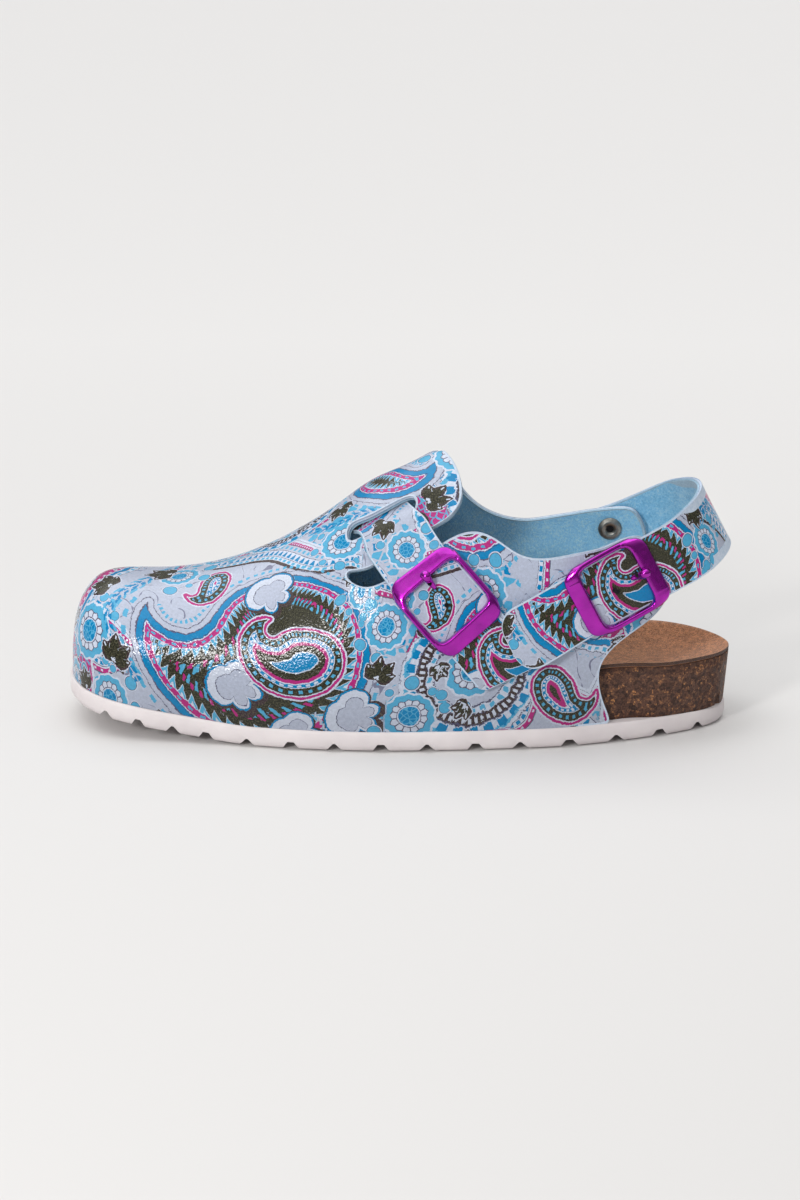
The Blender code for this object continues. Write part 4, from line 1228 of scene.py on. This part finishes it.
def punch_holes(leather, lining, spots):
    """Punches round holes square to the strap through both of its layers."""
    for x, z in spots:
        front = [face for face in leather.data.polygons if face.material_index == 0 and face.center.y < 0.0]
        face = min(front, key=lambda one: math.hypot(one.center.x / MM - x, one.center.z / MM - z))
        centre = face.center.copy()
        way = face.normal.to_track_quat("Z", "Y").to_euler()
        bpy.ops.object.select_all(action="DESELECT")
        bpy.ops.mesh.primitive_cylinder_add(
            vertices=24, radius=HOLE_RADIUS * MM, depth=PUNCH_LENGTH * MM, location=centre, rotation=way
        )
        punch = bpy.context.view_layer.objects.active
        # The cutter's near-black colour passes to the hole walls as painted shade
        punch.data.materials.append(MATERIALS["hole"])
        for layer in (leather, lining):
            cut = layer.modifiers.new("hole", "BOOLEAN")
            cut.object = punch
            cut.operation = "DIFFERENCE"
            cut.solver = "EXACT"
            cut.material_mode = "TRANSFER"
            apply_all(layer)
        choose(punch)
        bpy.ops.object.delete()


# Materials of a layer's front, back and edge
LEATHER_LAYERS = ("print", "flesh", "edge")
FELT_LAYERS = ("felt", "flesh", "felt_edge")
LINING_LAYERS = ("lining", "flesh", "felt_edge")

# Where the print lies level on a piece, how far round that spot this is measured, and how it is shifted
Lay = namedtuple("Lay", "x z reach shift")
UPPER_LAY = Lay(-42.0, 44.0, 34.0, (0.0, 0.0))

Strap = namedtuple("Strap", "node lay holes")
STRAPS = [
    Strap("instep_strap", Lay(12.0, 62.0, 22.0, (-32.0, 18.0)), ((12.2, 64.7), (18.7, 57.3))),
    Strap("back_strap", Lay(78.0, 60.0, 22.0, (-12.0, -10.0)), ((82.6, 61.2), (90.9, 67.1))),
]


def make_upper():
    leather = layer_of("upper", "upper_leather", 0, LEATHER_LAYERS, LEATHER, LEATHER_EDGE, 2)
    lining = layer_of("upper", "upper_lining", 1, LINING_LAYERS, FELT, FELT_EDGE, 2)
    subdivide_front(leather)
    print_on(leather, UPPER_LAY)
    press_creases(leather)
    press_creases(lining)
    dress(leather, (), "printed_leather", "upper")
    dress(lining, (), "printed_leather")


def make_straps():
    for node, lay, holes in STRAPS:
        leather = layer_of(node, node + "_leather", 0, LEATHER_LAYERS, STRAP_LEATHER, LEATHER_EDGE, 3)
        lining = layer_of(node, node + "_felt", 1, FELT_LAYERS, STRAP_FELT, FELT_EDGE, 2)
        punch_holes(leather, lining, holes)
        print_on(leather, lay)
        dress(leather, (), "printed_leather", node)
        dress(lining, (), "printed_leather")


SOLE_EDGE = 0.35
SOLE_EDGE_TURN = math.radians(35.0)
SOLE_SMOOTH_TURN = math.radians(34.0)
CORK_CREASE = 0.85
SUEDE_CREASE = 0.6
SUEDE_EDGE_SLOPE = 0.6


def make_sole():
    outsole = copy_of("outsole", "foam_sole", quads=False)
    soft = outsole.modifiers.new("soft_edges", "BEVEL")
    soft.width = SOLE_EDGE * MM
    soft.segments = 2
    soft.limit_method = "ANGLE"
    soft.angle_limit = SOLE_EDGE_TURN
    apply_all(outsole)
    bpy.ops.object.shade_smooth_by_angle(angle=SOLE_SMOOTH_TURN)
    dress(outsole, ("foam",), "foam", "outsole")
    footbed = smooth_copy("footbed", "cork_bed", SHARP_TURN, CORK_CREASE, 2)
    dress(footbed, ("cork",), "cork", "footbed")
    insole = smooth_copy("insole", "suede_insole", SHARP_TURN, SUEDE_CREASE, 2)
    for face in insole.data.polygons:
        face.material_index = int(abs(face.normal.z) < SUEDE_EDGE_SLOPE)
    dress(insole, ("suede", "suede_edge"), "suede", "insole")


def fatten(piece, gain):
    """Rounds a piece out evenly, as polish and lacquer do."""
    choose(piece)
    bpy.ops.object.mode_set(mode="EDIT")
    bpy.ops.mesh.select_all(action="SELECT")
    bpy.ops.transform.shrink_fatten(value=gain * MM)
    bpy.ops.object.mode_set(mode="OBJECT")


SHANK_RADIUS = 1.75
SHANK_LENGTH = 0.5
SHANK_DEPTH = 0.4
SHANK_LIP = 0.4
SHANK_HOLLOW = 0.25
SHANK_EDGE = 0.08


def make_shank():
    """The hollow end of the rivet's shank, seen in the ring, coloured near-black as painted shade."""
    ring = Vector(places(NODES["rivet_ring"].data).mean(axis=0)) * MM
    cap = Vector(places(NODES["rivet_cap"].data).mean(axis=0)) * MM
    axis = (cap - ring).normalized()
    bpy.ops.object.select_all(action="DESELECT")
    bpy.ops.mesh.primitive_cylinder_add(
        vertices=32,
        radius=SHANK_RADIUS * MM,
        depth=SHANK_LENGTH * MM,
        location=ring + axis * SHANK_DEPTH * MM,
        rotation=axis.to_track_quat("Z", "Y").to_euler(),
    )
    shank = bpy.context.view_layer.objects.active
    shank.name = "rivet_shank"
    bpy.ops.object.transform_apply(location=True, rotation=True, scale=True)
    select_faces(shank, [face.index for face in shank.data.polygons if face.normal.dot(axis) < -0.9])
    bpy.ops.mesh.inset(thickness=SHANK_LIP * MM, depth=-SHANK_HOLLOW * MM)
    bpy.ops.mesh.bevel(offset=SHANK_EDGE * MM, segments=2)
    bpy.ops.object.mode_set(mode="OBJECT")
    dress(shank, ("hole",), "rivet_steel")


# Metal pieces: how their edges are rounded, and how thick the lacquer is
Metal = namedtuple("Metal", "nodes ending material slot turn crease levels lacquer")
METALS = [
    Metal(("instep_buckle", "back_buckle"), "_frame", "violet", "coloured_metal", 48.0, 0.4, 3, 0.3),
    Metal(("instep_prong", "back_prong"), "_pin", "violet", "coloured_metal", 60.0, 0.3, 2, 0.35),
    Metal(("rivet_ring", "rivet_cap"), "_steel", "steel", "rivet_steel", 40.0, 0.5, 2, 0.0),
]


def make_metal():
    for row in METALS:
        for node in row.nodes:
            piece = smooth_copy(node, node + row.ending, math.radians(row.turn), row.crease, row.levels)
            if row.lacquer:
                fatten(piece, row.lacquer)
            dress(piece, (row.material,), row.slot, node)
    make_shank()


# Studio, in metres


def make_floor():
    bpy.ops.object.select_all(action="DESELECT")
    bpy.ops.mesh.primitive_plane_add(size=30.0, location=(0.0, 0.0, 0.0))
    floor = bpy.context.view_layer.objects.active
    floor.name = "paper_floor"
    floor.data.materials.append(MATERIALS["paper"])


def add_light(kind, name, place, way, power):
    bpy.ops.object.light_add(type=kind, location=place)
    lamp = bpy.context.view_layer.objects.active
    lamp.name = name
    lamp.data.energy = power
    lamp.rotation_euler = Vector(way).to_track_quat("-Z", "Y").to_euler()
    return lamp.data


KEY_PLACE = Vector((-0.61, -1.1, 0.56))
KEY_TARGET = Vector((-0.04, -0.03, 0.04))
KEY_SIZE = 0.2
AIR = [(0.0, (0.16, 0.16, 0.17, 1.0)), (0.3, (0.2, 0.2, 0.21, 1.0)), (0.75, (0.62, 0.615, 0.61, 1.0))]


def make_studio():
    make_floor()
    daylight = add_light("SUN", "soft_daylight", (-1.0, -1.0, 2.0), (0.25, -0.26, -1.2), 1.5)
    daylight.angle = math.radians(75.0)
    front = add_light("SUN", "front_fill", (-1.0, -2.0, 1.5), (0.3, 0.85, -0.75), 0.2)
    front.angle = math.radians(40.0)
    key = add_light("AREA", "key_box", KEY_PLACE, KEY_TARGET - KEY_PLACE, 6.5)
    key.shape = "RECTANGLE"
    key.size = KEY_SIZE
    key.size_y = KEY_SIZE
    key.color = (1.0, 0.985, 0.97)
    world = bpy.data.worlds.new("studio_air")
    bpy.context.scene.world = world
    world.use_nodes = True
    nodes = Nodes(world.node_tree)
    height = nodes.split(nodes.add("ShaderNodeTexCoord").outputs["Generated"])[2]
    air = world.node_tree.nodes["Background"]
    nodes.set(air.inputs["Color"], nodes.ramp(height, AIR))
    air.inputs["Strength"].default_value = 1.0
    bpy.context.scene.view_settings.view_transform = "Standard"


def make_camera():
    back = Vector((0.0, -math.cos(CAMERA_ELEVATION), math.sin(CAMERA_ELEVATION)))
    bpy.ops.object.camera_add(location=CAMERA_TARGET + back * CAMERA_DISTANCE)
    camera = bpy.context.view_layer.objects.active
    camera.name = "photo_camera"
    camera.rotation_euler = (-back).to_track_quat("-Z", "Y").to_euler()
    camera.data.sensor_width = 36.0
    camera.data.lens = CAMERA_LENS
    camera.data.clip_start = 0.05
    camera.data.clip_end = 60.0
    bpy.context.scene.camera = camera


make_upper()
make_straps()
make_sole()
make_metal()
make_studio()
make_camera()
